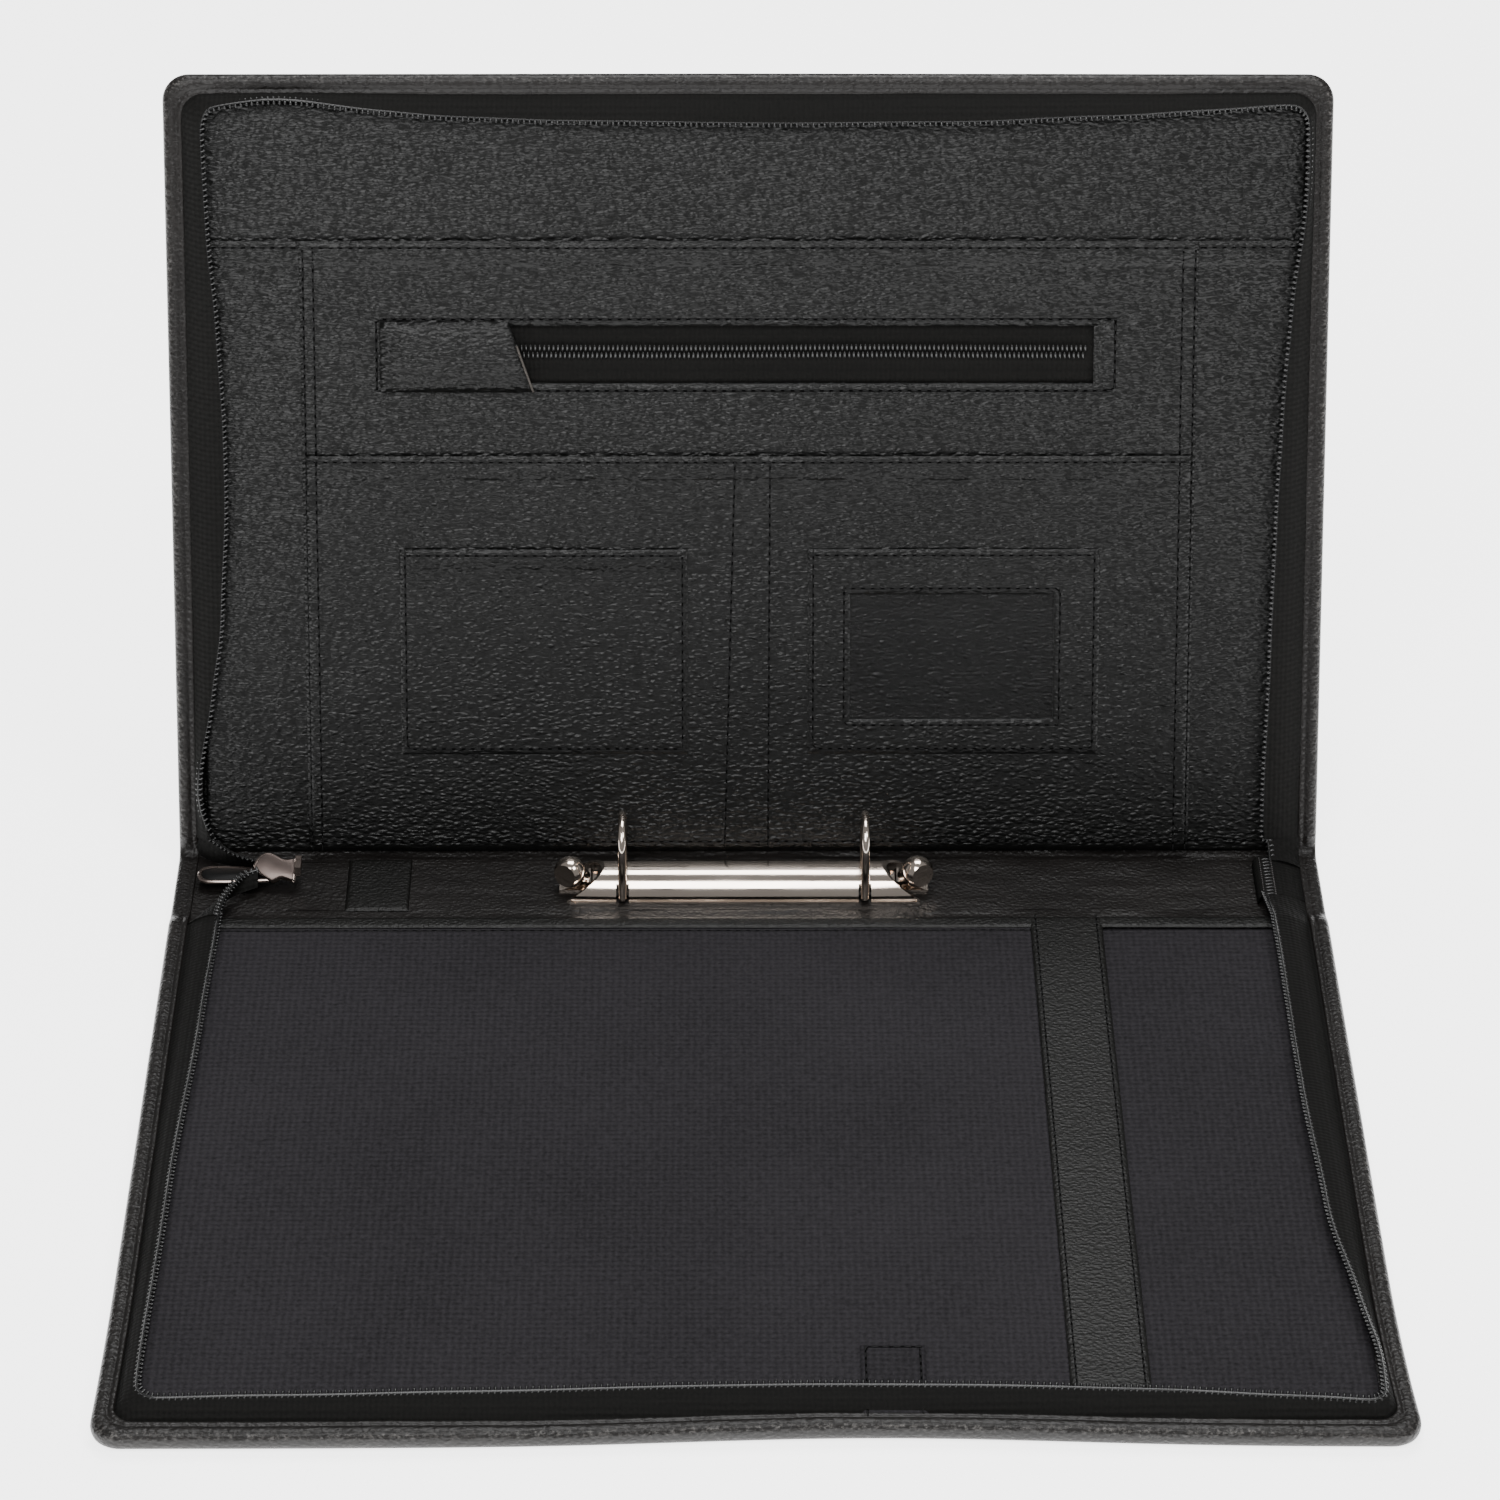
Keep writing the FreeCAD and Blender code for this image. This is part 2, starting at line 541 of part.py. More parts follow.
def cover_plate():
    """The arched chrome plate: a shell with sloping ends, a thin foot along each side and ring slots."""
    start = Placement(Vector(-size("plate_half"), 0, size("arch_rise") - arch_radius), along_x)
    outer = rod("arch_outer", ARCH, "2 * sizes.plate_half", start)
    hollow = rod("arch_hollow", f"{ARCH} - sizes.metal", "2 * sizes.plate_half", start)
    under = block("arch_floor", "-sizes.plate_half - 5", "-sizes.arch_chord", "-2 * sizes.arch_chord",
                  "2 * sizes.plate_half + 10", "2 * sizes.arch_chord", "2 * sizes.arch_chord")
    tools = [under] + [end_slope(end, side) for end, side in ENDS]
    arch = cut("arch", cut("arch_shell", outer, hollow), fuse("arch_tools", tools))
    feet, slots = [], []
    for row, edge in EDGES:
        feet.append(block(f"arch_foot_{row}", f"-sizes.plate_half + {FOOT_INSET}",
                          f"{edge} * (sizes.arch_chord / 2 + {SIDE_FOOT_OUT}) - {SIDE_FOOT / 2}", 0,
                          f"2 * (sizes.plate_half - {FOOT_INSET})", SIDE_FOOT, SIDE_FOOT_HEIGHT))
        for end, side in ENDS:
            slots.append(block(f"ring_slot_{row}_{end}",
                               f"{side} * sizes.ring_span / 2 - {RING_SLOT / 2}",
                               edge * RING_SLOT_LINE - RING_SLOT_WIDTH / 2, -1,
                               RING_SLOT, RING_SLOT_WIDTH, RING_SLOT_HIGH + 1))
    for end, side in ENDS:
        feet.append(block(f"arch_tongue_{end}",
                          f"{side} * (sizes.plate_half - {TONGUE / 2}) - {TONGUE / 2}",
                          -TONGUE_WIDTH / 2, 0, TONGUE, TONGUE_WIDTH, TONGUE_HEIGHT))
    plate = cut("plate", fuse("arch_on_feet", [arch] + feet), fuse("ring_slots", slots))
    return keep(plate, "ring_cover_plate", ring_place)


def ring_half(label, x, side):
    """Half a ring: a quarter turn from the top, a straight leg down, and a foot on the rail."""
    tip_gap = math.degrees(TIP_GAP / size("ring_radius"))
    across, axle = Vector(0, side, 0), Vector(side, 0, 0)
    upward = axle.cross(across)
    frame = Matrix(across.x, upward.x, axle.x, 0, across.y, upward.y, axle.y, 0,
                   across.z, upward.z, axle.z, 0, 0, 0, 0, 1)
    wire = doc.addObject("Part::Torus", label + "_wire")
    wire.setExpression("Radius1", "sizes.ring_radius")
    wire.setExpression("Radius2", "sizes.ring_wire")
    wire.Angle3 = 90 - tip_gap
    wire.Placement = Placement(Vector(x, 0, size("ring_rise")), Rotation(Placement(frame).Rotation))
    elbow_at = Vector(x, side * size("ring_radius"), WIRE_HEIGHT)
    leg = rod(label + "_leg", "sizes.ring_wire", f"sizes.ring_rise - {WIRE_HEIGHT}",
              Placement(elbow_at, Rotation()))
    foot = rod(label + "_foot", "sizes.ring_wire", f"sizes.ring_radius - {FOOT_START}",
               Placement(Vector(x, side * FOOT_START, WIRE_HEIGHT),
                         Rotation(Vector(0, 0, 1), Vector(0, side, 0))))
    elbow = doc.addObject("Part::Sphere", label + "_elbow")
    elbow.setExpression("Radius", "sizes.ring_wire")
    elbow.Placement = Placement(elbow_at, Rotation())
    return keep(fuse(label, [wire, leg, foot, elbow]), label, ring_place)


def ring_rail(label, side):
    """The strip that carries two half rings, notched round the mounting posts."""
    near = RAIL_GAP if side > 0 else -RAIL_GAP - RAIL_WIDTH
    strip = block(label + "_strip", "-sizes.rail_half", near, WIRE_HEIGHT - RAIL_HEIGHT / 2,
                  "2 * sizes.rail_half", RAIL_WIDTH, RAIL_HEIGHT)
    notches = [rod(f"{label}_notch_{end}", POST_CLEAR, 4 * RAIL_HEIGHT,
                   Placement(Vector(way * POST_AT, 0, WIRE_HEIGHT - 2 * RAIL_HEIGHT), Rotation()))
               for end, way in ENDS]
    return keep(cut(label, strip, fuse(label + "_notches", notches)), label, ring_place)


def lever(label, side):
    """A thumb lever: an arm under the plate, its pivot boss, a neck and a round knob with a flat face."""
    pivot = side * size("lever_pivot")
    boss = rod(label + "_boss", BOSS, BOSS_LENGTH,
               Placement(Vector(pivot, -BOSS_LENGTH / 2, PIVOT_HEIGHT), Rotation(Vector(1, 0, 0), -90)))
    length, width, thick = ARM
    arm = block(label + "_arm", pivot + side * ARM_OUT - length / 2, -width / 2, PIVOT_HEIGHT - thick / 2,
                length, width, thick)
    knob_at = Vector(pivot + side * KNOB_OUT, -KNOB_FORWARD, PIVOT_HEIGHT + KNOB_LIFT)
    neck_at = Vector(pivot + side * NECK_OUT, 0, PIVOT_HEIGHT)
    reach = knob_at - neck_at
    neck = rod(label + "_neck", NECK, round(reach.Length, 3),
               Placement(neck_at, Rotation(Vector(0, 0, 1), reach)))
    knob = doc.addObject("Part::Sphere", label + "_knob")
    knob.Radius = KNOB
    knob.Placement = Placement(knob_at, Rotation())
    facing = Vector(side * KNOB_FACING[0], *KNOB_FACING[1:]).normalize()
    turn = Rotation(Vector(0, 0, 1), facing)
    flat = doc.addObject("Part::Box", label + "_flat")
    flat.Length, flat.Width, flat.Height = 4 * KNOB, 4 * KNOB, 2 * KNOB
    flat.Placement = Placement(knob_at + facing * (KNOB * KNOB_FLAT)
                               - turn.multVec(Vector(2 * KNOB, 2 * KNOB, 0)), turn)
    return keep(cut(label, fuse(label + "_solid", [boss, arm, neck, knob]), flat), label, ring_place)


cover_plate()
for edge, side in EDGES:
    ring_rail(f"ring_rail_{edge}", side)
    for end, way in ENDS:
        ring_half(f"ring_half_{edge}_{end}", way * size("ring_span") / 2, side)
for end, way in ENDS:
    lever(f"lever_{end}", way)
posts = [rod(f"mounting_post_{end}", POST, f"sizes.arch_rise - sizes.metal - {POST_SHORT}",
             Placement(Vector(way * POST_AT, 0, 0), Rotation())) for end, way in ENDS]
keep(fuse("mounting_posts", posts), "mounting_posts", ring_place)

# ---------------------------------------------------------------- ends of the main zip, on the spine
# The tail's own frame: the case's left edge, on the tail's centre line and mid plane.

tail_place = spine_place.multiply(Placement(Vector(-half_width, size("tail_line"), size("tail_height")),
                                            Rotation()))
TAIL_START = 15.5       # from the left edge
TAIL_END = 40.0
CHAIN_GAP = 0.95        # from the centre line to a row of coil
CHAIN_WIDTH = 1.9
CHAIN_HEIGHT = 2.8
TAPE_WIDTH = 3.8        # tape beyond the coil
TAPE_THICK = 0.6
STOP = (2, 7, 3.4)      # end stop: length, width and height
CLOSED_TAPE = 23.5      # closed end: tape's inner edge, from the right edge
CLOSED_CHAIN = (18.5, 13)       # closed end: chain's edges, from the right edge
CLOSED_END = 4          # the closed end stops this far inside the folds
CLOSED_HEIGHT = 2.6

SLIDER_LENGTH = 13.0
SLIDER_START = TAIL_END - 13.5
SLIDER_HALF = 4.6       # half the slider's width at its shoulders
SLIDER_TAPER = 1        # narrower by this at its square end, each side
SLIDER_NOSE = 5         # length of the rounded nose
SLIDER_HEIGHT = 5.4
CHANNEL = (6.6, 3.4)    # the coil's channel: width and height
TAPE_SLOT = 1.4         # height of the slot for the tapes
WEDGE = (3.5, 1.4, 4)   # the wedge between the two rows: length, width and height
WEDGE_START = 1         # from the nose
BAIL_AT = 4.5           # the pull's bail, from the nose
BAIL_DROP = 3.9         # and its middle, below the slider's
BAIL = 0.7              # radius
BAIL_LENGTH = 5.2
BAIL_LUG = (1.6, 0.8, 2.0)
PULL = (21.5, 9, 1.1)   # the pull: length, width and thickness
PULL_PAST = 1.5         # the pull's end beyond the bail
PULL_CORNER = 3
PULL_EYE = (2.2, 6.6)   # the hole that hangs on the bail
PULL_DROOP = 3          # degrees

for edge, side in EDGES:
    tape_at = CHAIN_GAP + CHAIN_WIDTH
    row = box(f"zip_tail_chain_{edge}", TAIL_START, CHAIN_GAP if side > 0 else -tape_at,
              -CHAIN_HEIGHT / 2, TAIL_END - TAIL_START, CHAIN_WIDTH, CHAIN_HEIGHT)
    keep(row, f"zip_tail_chain_{edge}", tail_place)
    strip = box(f"zip_tail_tape_{edge}", TAIL_START, tape_at if side > 0 else -tape_at - TAPE_WIDTH,
                -TAPE_THICK / 2, TAIL_END - TAIL_START, TAPE_WIDTH, TAPE_THICK)
    keep(strip, f"zip_tail_tape_{edge}", tail_place)
stop = box("zip_end_stop", TAIL_END, -STOP[1] / 2, -STOP[2] / 2, *STOP)
keep(stop, "zip_end_stop", tail_place)
slab("zip_closed_end_tape", spine_place, f"{HALF} - {CLOSED_TAPE}", f"{HALF} - sizes.border - 0.2",
     str(CLOSED_END), f"sizes.spine_width - {CLOSED_END}", SPINE_IN, "sizes.tape")
slab("zip_closed_end_chain", spine_place, f"{HALF} - {CLOSED_CHAIN[0]}", f"{HALF} - {CLOSED_CHAIN[1]}",
     str(CLOSED_END + 0.5), f"sizes.spine_width - {CLOSED_END + 0.5}", f"{SPINE_IN} + sizes.tape",
     str(CLOSED_HEIGHT))


def main_slider():
    """The slider: two plates on a wedge, lips along both sides with slots for the tapes, and a bail."""
    low = -SLIDER_HEIGHT / 2
    nose, shoulder, end = SLIDER_START, SLIDER_START + SLIDER_NOSE, SLIDER_START + SLIDER_LENGTH
    narrow = SLIDER_HALF - SLIDER_TAPER
    outline = Part.Wire([
        Part.makeLine(Vector(end, -narrow, low), Vector(end, narrow, low)),
        Part.makeLine(Vector(end, narrow, low), Vector(shoulder, SLIDER_HALF, low)),
        Part.Arc(Vector(shoulder, SLIDER_HALF, low), Vector(nose, 0, low),
                 Vector(shoulder, -SLIDER_HALF, low)).toShape(),
        Part.makeLine(Vector(shoulder, -SLIDER_HALF, low), Vector(end, -narrow, low))])
    solid = Part.Face(outline).extrude(Vector(0, 0, SLIDER_HEIGHT))
    through, past = 2 * SLIDER_LENGTH, SLIDER_LENGTH / 2
    wide, high = CHANNEL
    channel = Part.makeBox(through, wide, high, Vector(nose - past, -wide / 2, -high / 2))
    slot = Part.makeBox(through, 2 * SLIDER_LENGTH, TAPE_SLOT,
                        Vector(nose - past, -SLIDER_LENGTH, -TAPE_SLOT / 2))
    wedge = Part.makeBox(*WEDGE, Vector(nose + WEDGE_START, -WEDGE[1] / 2, -WEDGE[2] / 2))
    body = solid.cut(channel).cut(slot).fuse(wedge)
    bail_at = nose + BAIL_AT
    for y in (-BAIL_LENGTH / 2, BAIL_LENGTH / 2 - BAIL_LUG[1]):
        body = body.fuse(Part.makeBox(*BAIL_LUG, Vector(bail_at - BAIL_LUG[0] / 2, y, -BAIL_DROP - BAIL)))
    body = body.fuse(Part.makeCylinder(BAIL, BAIL_LENGTH, Vector(bail_at, -BAIL_LENGTH / 2, -BAIL_DROP),
                                       Vector(0, 1, 0)))
    feature = doc.addObject("Part::Feature", "zip_slider")
    feature.Shape = body.removeSplitter()
    return keep(feature, "zip_slider", tail_place)


def main_pull():
    """The pull: a flat tag whose window hangs on the slider's bail; it droops to the outer edge."""
    length, width, thick = PULL
    bail = Vector(SLIDER_START + BAIL_AT, 0, -BAIL_DROP)
    tag = Part.makeBox(length, width, thick, Vector(PULL_PAST - length, -width / 2, -thick / 2))
    far = [e for e in tag.Edges if e.BoundBox.ZLength > thick / 2 and e.BoundBox.XMax < 0]
    hole, across = PULL_EYE
    eye = Part.makeBox(hole, across, 3 * thick, Vector(-hole / 2, -across / 2, -1.5 * thick))
    feature = doc.addObject("Part::Feature", "zip_pull")
    feature.Shape = tag.makeFillet(PULL_CORNER, far).cut(eye)
    feature.Placement = Placement(bail, Rotation(Vector(0, 1, 0), -PULL_DROOP))
    return keep(feature, "zip_pull", tail_place)


main_slider()
main_pull()

# ---------------------------------------------------------------- check and write

doc.recompute()
for thing in doc.Objects:
    if "Invalid" in thing.State or "Error" in thing.State:
        raise RuntimeError(f"{thing.Name} is {thing.State}")
os.makedirs("parts", exist_ok=True)
for thing in parts:
    shape = thing.Shape
    if shape.isNull() or not shape.isValid() or shape.Volume < 0.01:
        raise RuntimeError(f"{thing.Label} has no valid shape")
    shape.exportStep(os.path.join("parts", thing.Label + ".step"))
print(len(parts), "parts written")
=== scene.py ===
import bmesh
import bpy
import json
import math
from mathutils import Matrix, Vector, noise


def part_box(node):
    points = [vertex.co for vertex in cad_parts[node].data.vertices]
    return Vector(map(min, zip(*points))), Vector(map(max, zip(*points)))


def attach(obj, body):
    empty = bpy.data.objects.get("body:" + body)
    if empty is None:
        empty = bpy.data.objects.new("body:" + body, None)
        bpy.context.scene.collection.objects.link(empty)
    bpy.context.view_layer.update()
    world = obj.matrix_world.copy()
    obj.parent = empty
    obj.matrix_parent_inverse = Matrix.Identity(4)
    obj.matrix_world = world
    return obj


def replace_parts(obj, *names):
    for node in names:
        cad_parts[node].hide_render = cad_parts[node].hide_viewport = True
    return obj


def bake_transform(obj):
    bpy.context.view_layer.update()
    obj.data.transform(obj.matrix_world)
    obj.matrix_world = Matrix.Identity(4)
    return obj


# A zip-round leather portfolio case, open: the base flat, the spine behind it, the lid leaning up.
# Places inside a panel are (x, v, n): x to the right, v from the panel's fold to its far edge and
# n up from the panel's outer face. Lengths are in metres.

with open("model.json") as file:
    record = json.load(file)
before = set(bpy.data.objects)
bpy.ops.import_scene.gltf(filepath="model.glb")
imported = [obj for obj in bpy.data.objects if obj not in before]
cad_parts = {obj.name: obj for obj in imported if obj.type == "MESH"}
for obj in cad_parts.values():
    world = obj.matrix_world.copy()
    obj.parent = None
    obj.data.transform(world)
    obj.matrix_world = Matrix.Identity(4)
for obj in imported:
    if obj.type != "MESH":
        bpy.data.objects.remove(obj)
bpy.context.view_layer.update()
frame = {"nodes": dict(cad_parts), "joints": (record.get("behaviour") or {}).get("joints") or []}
MM = 0.001


def mm(*lengths):
    """Lengths given in millimetres."""
    return tuple(length * MM for length in lengths)


JOINTS = {joint["name"]: joint for joint in frame["joints"]}
BASE_FOLD = Vector(JOINTS["spine_fold"]["pos_m"])
LID_FOLD = Vector(JOINTS["lid_fold"]["pos_m"])
LEAN = math.radians(JOINTS["lid_fold"]["range_deg"][1])
HINGE = LID_FOLD.z
COVER_LOW, COVER_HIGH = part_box("base_cover")
HALF = COVER_HIGH[0]
DEPTH = BASE_FOLD.y - COVER_LOW[1]
SPINE = LID_FOLD.y - BASE_FOLD.y

PANEL_TOP = 6.8 * MM        # top of the turned leather edge
FLOOR = 4.4 * MM            # inner face of the board
INSIDE = 5.0 * MM           # inner face of the lining
SPINE_TOP = 4.0 * MM        # top of the spine's turned ends
SPINE_FLOOR = 2.9 * MM      # inner face of the spine's lining
CORNER = 8.5 * MM           # corner radius of the outline
BEND = 8 * MM               # length of a panel's soft stretch beside its fold
LID_START = BEND - HINGE * math.tan(LEAN / 2)


def base_at(x, v, n):
    return Vector((x, BASE_FOLD.y - v, n))


def spine_at(x, v, n):
    return Vector((x, BASE_FOLD.y + v, n))


def spine_mm(x, v, n):
    return spine_at(*mm(x, v, n))


def lid_at(x, v, n):
    up = n - HINGE
    return Vector((x, LID_FOLD.y + v * math.cos(LEAN) - up * math.sin(LEAN),
                   HINGE + v * math.sin(LEAN) + up * math.cos(LEAN)))


# ---------------------------------------------------------------- materials

def node_tree(name):
    material = bpy.data.materials.new(name)
    material.use_nodes = True
    tree = material.node_tree
    shader = tree.nodes["Principled BSDF"]
    return material, tree, shader


def add_node(tree, kind, **settings):
    """A node with its settings: input values by name, and properties."""
    node = tree.nodes.new(kind)
    for key, value in settings.items():
        if key in node.inputs:
            node.inputs[key].default_value = value
        else:
            setattr(node, key, value)
    return node


def noise_node(tree, where, **settings):
    node = add_node(tree, "ShaderNodeTexNoise", **settings)
    tree.links.new(where, node.inputs["Vector"])
    return node


def object_coordinates(tree, stretch=(1, 1, 1)):
    coordinates = tree.nodes.new("ShaderNodeTexCoord")
    mapping = add_node(tree, "ShaderNodeMapping")
    mapping.inputs["Scale"].default_value = stretch
    tree.links.new(coordinates.outputs["Object"], mapping.inputs["Vector"])
    return mapping.outputs["Vector"]


def ramp(tree, source, low, high, low_colour=(0, 0, 0, 1), high_colour=(1, 1, 1, 1)):
    node = tree.nodes.new("ShaderNodeValToRGB")
    node.color_ramp.elements[0].position = low
    node.color_ramp.elements[1].position = high
    node.color_ramp.elements[0].color = low_colour
    node.color_ramp.elements[1].color = high_colour
    tree.links.new(source, node.inputs["Fac"])
    return node.outputs["Color"]


def bump(tree, shader, height, distance, strength=1.0, under=None):
    node = add_node(tree, "ShaderNodeBump", Strength=strength, Distance=distance)
    tree.links.new(height, node.inputs["Height"])
    if under is not None:
        tree.links.new(under, node.inputs["Normal"])
    tree.links.new(node.outputs["Normal"], shader.inputs["Normal"])
    return node.outputs["Normal"]


def leather(name, colour, pale, grain, depth, roughness, wear_highlight_tone=0.0, stretch=0.5):
    """Pebbled leather: cells drawn out sideways, fine creases, paler worn patches, and pale specks along
    the rubbed edge that are partly real wear and partly a painted highlight.
    """
    material, tree, shader = node_tree(name)
    where = object_coordinates(tree, (stretch, 1, 1))
    warp = noise_node(tree, where, Scale=grain * 0.5, Detail=3.0)
    shift = add_node(tree, "ShaderNodeVectorMath", operation="MULTIPLY_ADD")
    shift.inputs[1].default_value = (1.1 / grain,) * 3
    tree.links.new(warp.outputs["Color"], shift.inputs[0])
    tree.links.new(where, shift.inputs[2])
    cells = add_node(tree, "ShaderNodeTexVoronoi", feature="SMOOTH_F1", Scale=grain, Smoothness=0.35)
    tree.links.new(shift.outputs["Vector"], cells.inputs["Vector"])
    creases = noise_node(tree, shift.outputs["Vector"], Scale=grain * 0.9, Detail=2.0, Roughness=0.5)
    domes = ramp(tree, cells.outputs["Distance"], 0.05, 0.75, (1, 1, 1, 1), (0, 0, 0, 1))
    fine = bump(tree, shader, creases.outputs["Fac"], depth * 1.1, 1.0)
    bump(tree, shader, domes, depth, 1.0, fine)
    patches = noise_node(tree, where, Scale=38.0, Detail=5.0, Roughness=0.6)
    tint = ramp(tree, patches.outputs["Fac"], 0.35, 0.75, (*colour, 1), (*pale, 1))
    # Pale specks along the rubbed outer edge: partly real wear, partly a painted highlight of the edge's
    # shine.
    if wear_highlight_tone:
        edge = add_node(tree, "ShaderNodeAttribute", attribute_name="wear")
        scuff_and_sheen = noise_node(tree, where, Scale=900.0, Detail=6.0, Roughness=0.75)
        specks = ramp(tree, scuff_and_sheen.outputs["Fac"], 0.5, 0.68)
        amount = add_node(tree, "ShaderNodeMath", operation="MULTIPLY")
        tree.links.new(edge.outputs["Fac"], amount.inputs[0])
        tree.links.new(specks, amount.inputs[1])
        mix = add_node(tree, "ShaderNodeMix", data_type="RGBA")
        tree.links.new(amount.outputs["Value"], mix.inputs["Factor"])
        tree.links.new(tint, mix.inputs["A"])
        mix.inputs["B"].default_value = (wear_highlight_tone, wear_highlight_tone * 0.95, wear_highlight_tone * 0.9, 1)
        tint = [output for output in mix.outputs if output.type == "RGBA"][0]
    tree.links.new(tint, shader.inputs["Base Color"])
    shader.inputs["Roughness"].default_value = roughness
    shader.inputs["Specular IOR Level"].default_value = 0.3
    return material


def woven(name, colour, pale, pitch, depth, roughness=0.75):
    """Cloth: crossing threads of a given pitch, with a painted highlight on the thread tops."""
    material, tree, shader = node_tree(name)
    where = object_coordinates(tree)
    total = None
    for direction in ("X", "Y", "Z"):
        wave = add_node(tree, "ShaderNodeTexWave", bands_direction=direction, Scale=0.157 / pitch,
                        Distortion=1.2, Detail=1.0)
        wave.inputs["Detail Scale"].default_value = 3.0
        tree.links.new(where, wave.inputs["Vector"])
        if total is None:
            total = wave.outputs["Fac"]
            continue
        add = add_node(tree, "ShaderNodeMath", operation="ADD")
        tree.links.new(total, add.inputs[0])
        tree.links.new(wave.outputs["Fac"], add.inputs[1])
        total = add.outputs["Value"]
    bump(tree, shader, total, depth, 0.7)
    slow = noise_node(tree, where, Scale=14.0, Detail=3.0)
    fast = noise_node(tree, where, Scale=1100.0, Detail=3.0, Roughness=0.7)
    # Tone: random fine speckle and slow patches, plus the weave's height, which paints a highlight on the
    # thread tops.
    tone_and_thread_highlight = fast.outputs["Fac"]
    for source, share in ((total, 0.12), (slow.outputs["Fac"], 0.2)):
        add = add_node(tree, "ShaderNodeMath", operation="MULTIPLY_ADD")
        tree.links.new(source, add.inputs[0])
        add.inputs[1].default_value = share
        tree.links.new(tone_and_thread_highlight, add.inputs[2])
        tone_and_thread_highlight = add.outputs["Value"]
    tint = ramp(tree, tone_and_thread_highlight, 0.5, 1.05, (*colour, 1), (*pale, 1))
    tree.links.new(tint, shader.inputs["Base Color"])
    shader.inputs["Roughness"].default_value = roughness
    shader.inputs["Specular IOR Level"].default_value = 0.15
    return material


def metal(name, colour, roughness, scratches=0.0):
    material, tree, shader = node_tree(name)
    shader.inputs["Base Color"].default_value = (*colour, 1)
    shader.inputs["Metallic"].default_value = 1.0
    marks = noise_node(tree, object_coordinates(tree, (0.2, 1, 1)), Scale=260.0, Detail=4.0)
    spread = ramp(tree, marks.outputs["Fac"], 0.3, 0.8,
                  (roughness, roughness, roughness, 1), (roughness + 0.12,) * 3 + (1,))
    tree.links.new(spread, shader.inputs["Roughness"])
    if scratches:
        bump(tree, shader, marks.outputs["Fac"], scratches, 0.5)
    return material


def plain(name, colour, roughness, coat=0.0, alpha=1.0, shine=0.5):
    material, tree, shader = node_tree(name)
    shader.inputs["Base Color"].default_value = (*colour, 1)
    shader.inputs["Roughness"].default_value = roughness
    shader.inputs["Coat Weight"].default_value = coat
    shader.inputs["Alpha"].default_value = alpha
    shader.inputs["Specular IOR Level"].default_value = shine
    return material


# The cover's pale edge specks are partly real wear, partly a painted highlight.
COVER = leather("cover_leather", (0.0055, 0.0046, 0.0042), (0.0105, 0.009, 0.0082), grain=800,
                depth=0.14 * MM, roughness=0.42, wear_highlight_tone=0.16, stretch=0.8)
POCKET = leather("pocket_leather", (0.002, 0.0021, 0.0019), (0.0035, 0.0036, 0.0033), grain=860,
                 depth=0.25 * MM, roughness=0.36)
STRIP = leather("spine_strip_leather", (0.0026, 0.0026, 0.0021), (0.005, 0.0046, 0.004), grain=950,
                depth=0.13 * MM, roughness=0.45, stretch=0.8)
LINING = woven("woven_lining_cloth", (0.006, 0.0055, 0.0065), (0.026, 0.024, 0.0275), pitch=1.1 * MM,
               depth=0.2 * MM)
TAPE = woven("zip_tape_cloth", (0.0022, 0.0022, 0.0019), (0.0056, 0.0053, 0.0047), pitch=0.8 * MM,
             depth=0.12 * MM, roughness=0.8)
COIL = plain("zip_coil_nylon", (0.004, 0.004, 0.004), 0.3, coat=0.25)
THREAD = plain("sewing_thread", (0.003, 0.003, 0.003), 0.6, shine=0.25)
# Dark strip along each seam: painted shade of the groove under the stitches.
SEAM_SHADE = plain("seam_painted_shade", (0.0012, 0.0012, 0.0012), 1.0, shine=0.05)
SMOKED = metal("smoked_nickel", (0.085, 0.068, 0.062), 0.3, 0.05 * MM)
CHROME = metal("polished_chrome", (0.93, 0.81, 0.71), 0.07)
NICKEL = metal("polished_nickel", (0.3, 0.245, 0.22), 0.24, 0.05 * MM)
STEEL = metal("plain_steel", (0.4, 0.4, 0.4), 0.3)
FILM = plain("clear_film", (0.02, 0.02, 0.02), 0.08, alpha=0.12)


# ---------------------------------------------------------------- mesh helpers

def make_piece(name, points, faces, material, body, slot, wear=None, angle=None):
    """A mesh piece that rides on a body, unless the body is None."""
    mesh = bpy.data.meshes.new(name)
    mesh.from_pydata([tuple(p) for p in points], [], faces)
    work = bmesh.new()
    work.from_mesh(mesh)
    bmesh.ops.recalc_face_normals(work, faces=work.faces)
    work.to_mesh(mesh)
    work.free()
    mesh.materials.append(material)
    if wear is not None:
        layer = mesh.attributes.new("wear", "FLOAT", "POINT")
        layer.data.foreach_set("value", wear)
    piece = bpy.data.objects.new(name, mesh)
    bpy.context.scene.collection.objects.link(piece)
    mesh.shade_smooth()
    if angle:
        mesh.set_sharp_from_angle(angle=math.radians(angle))
    if body:
        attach(piece, body)
    return piece


def stitch_rows(rows, closed_rows=False):
    """Quads between rows of points, all rows alike in length."""
    count = len(rows[0])
    faces = []
    for i in range(len(rows) - 1):
        for j in range(count - (0 if closed_rows else 1)):
            m = (j + 1) % count
            faces.append((i * count + j, i * count + m, (i + 1) * count + m, (i + 1) * count + j))
    return faces


def end_faces(count, rows, start=0):
    """The two faces that close a tube of rings, whose points begin at start."""
    last = start + (rows - 1) * count
    return [tuple(start + j for j in range(count)), tuple(last + j for j in reversed(range(count)))]


def loft(name, rows, material, body, slot, **more):
    """A solid between closed rings of points."""
    faces = stitch_rows(rows, closed_rows=True) + end_faces(len(rows[0]), len(rows))
    points = [p for row in rows for p in row]
    return make_piece(name, points, faces, material, body, slot, **more)


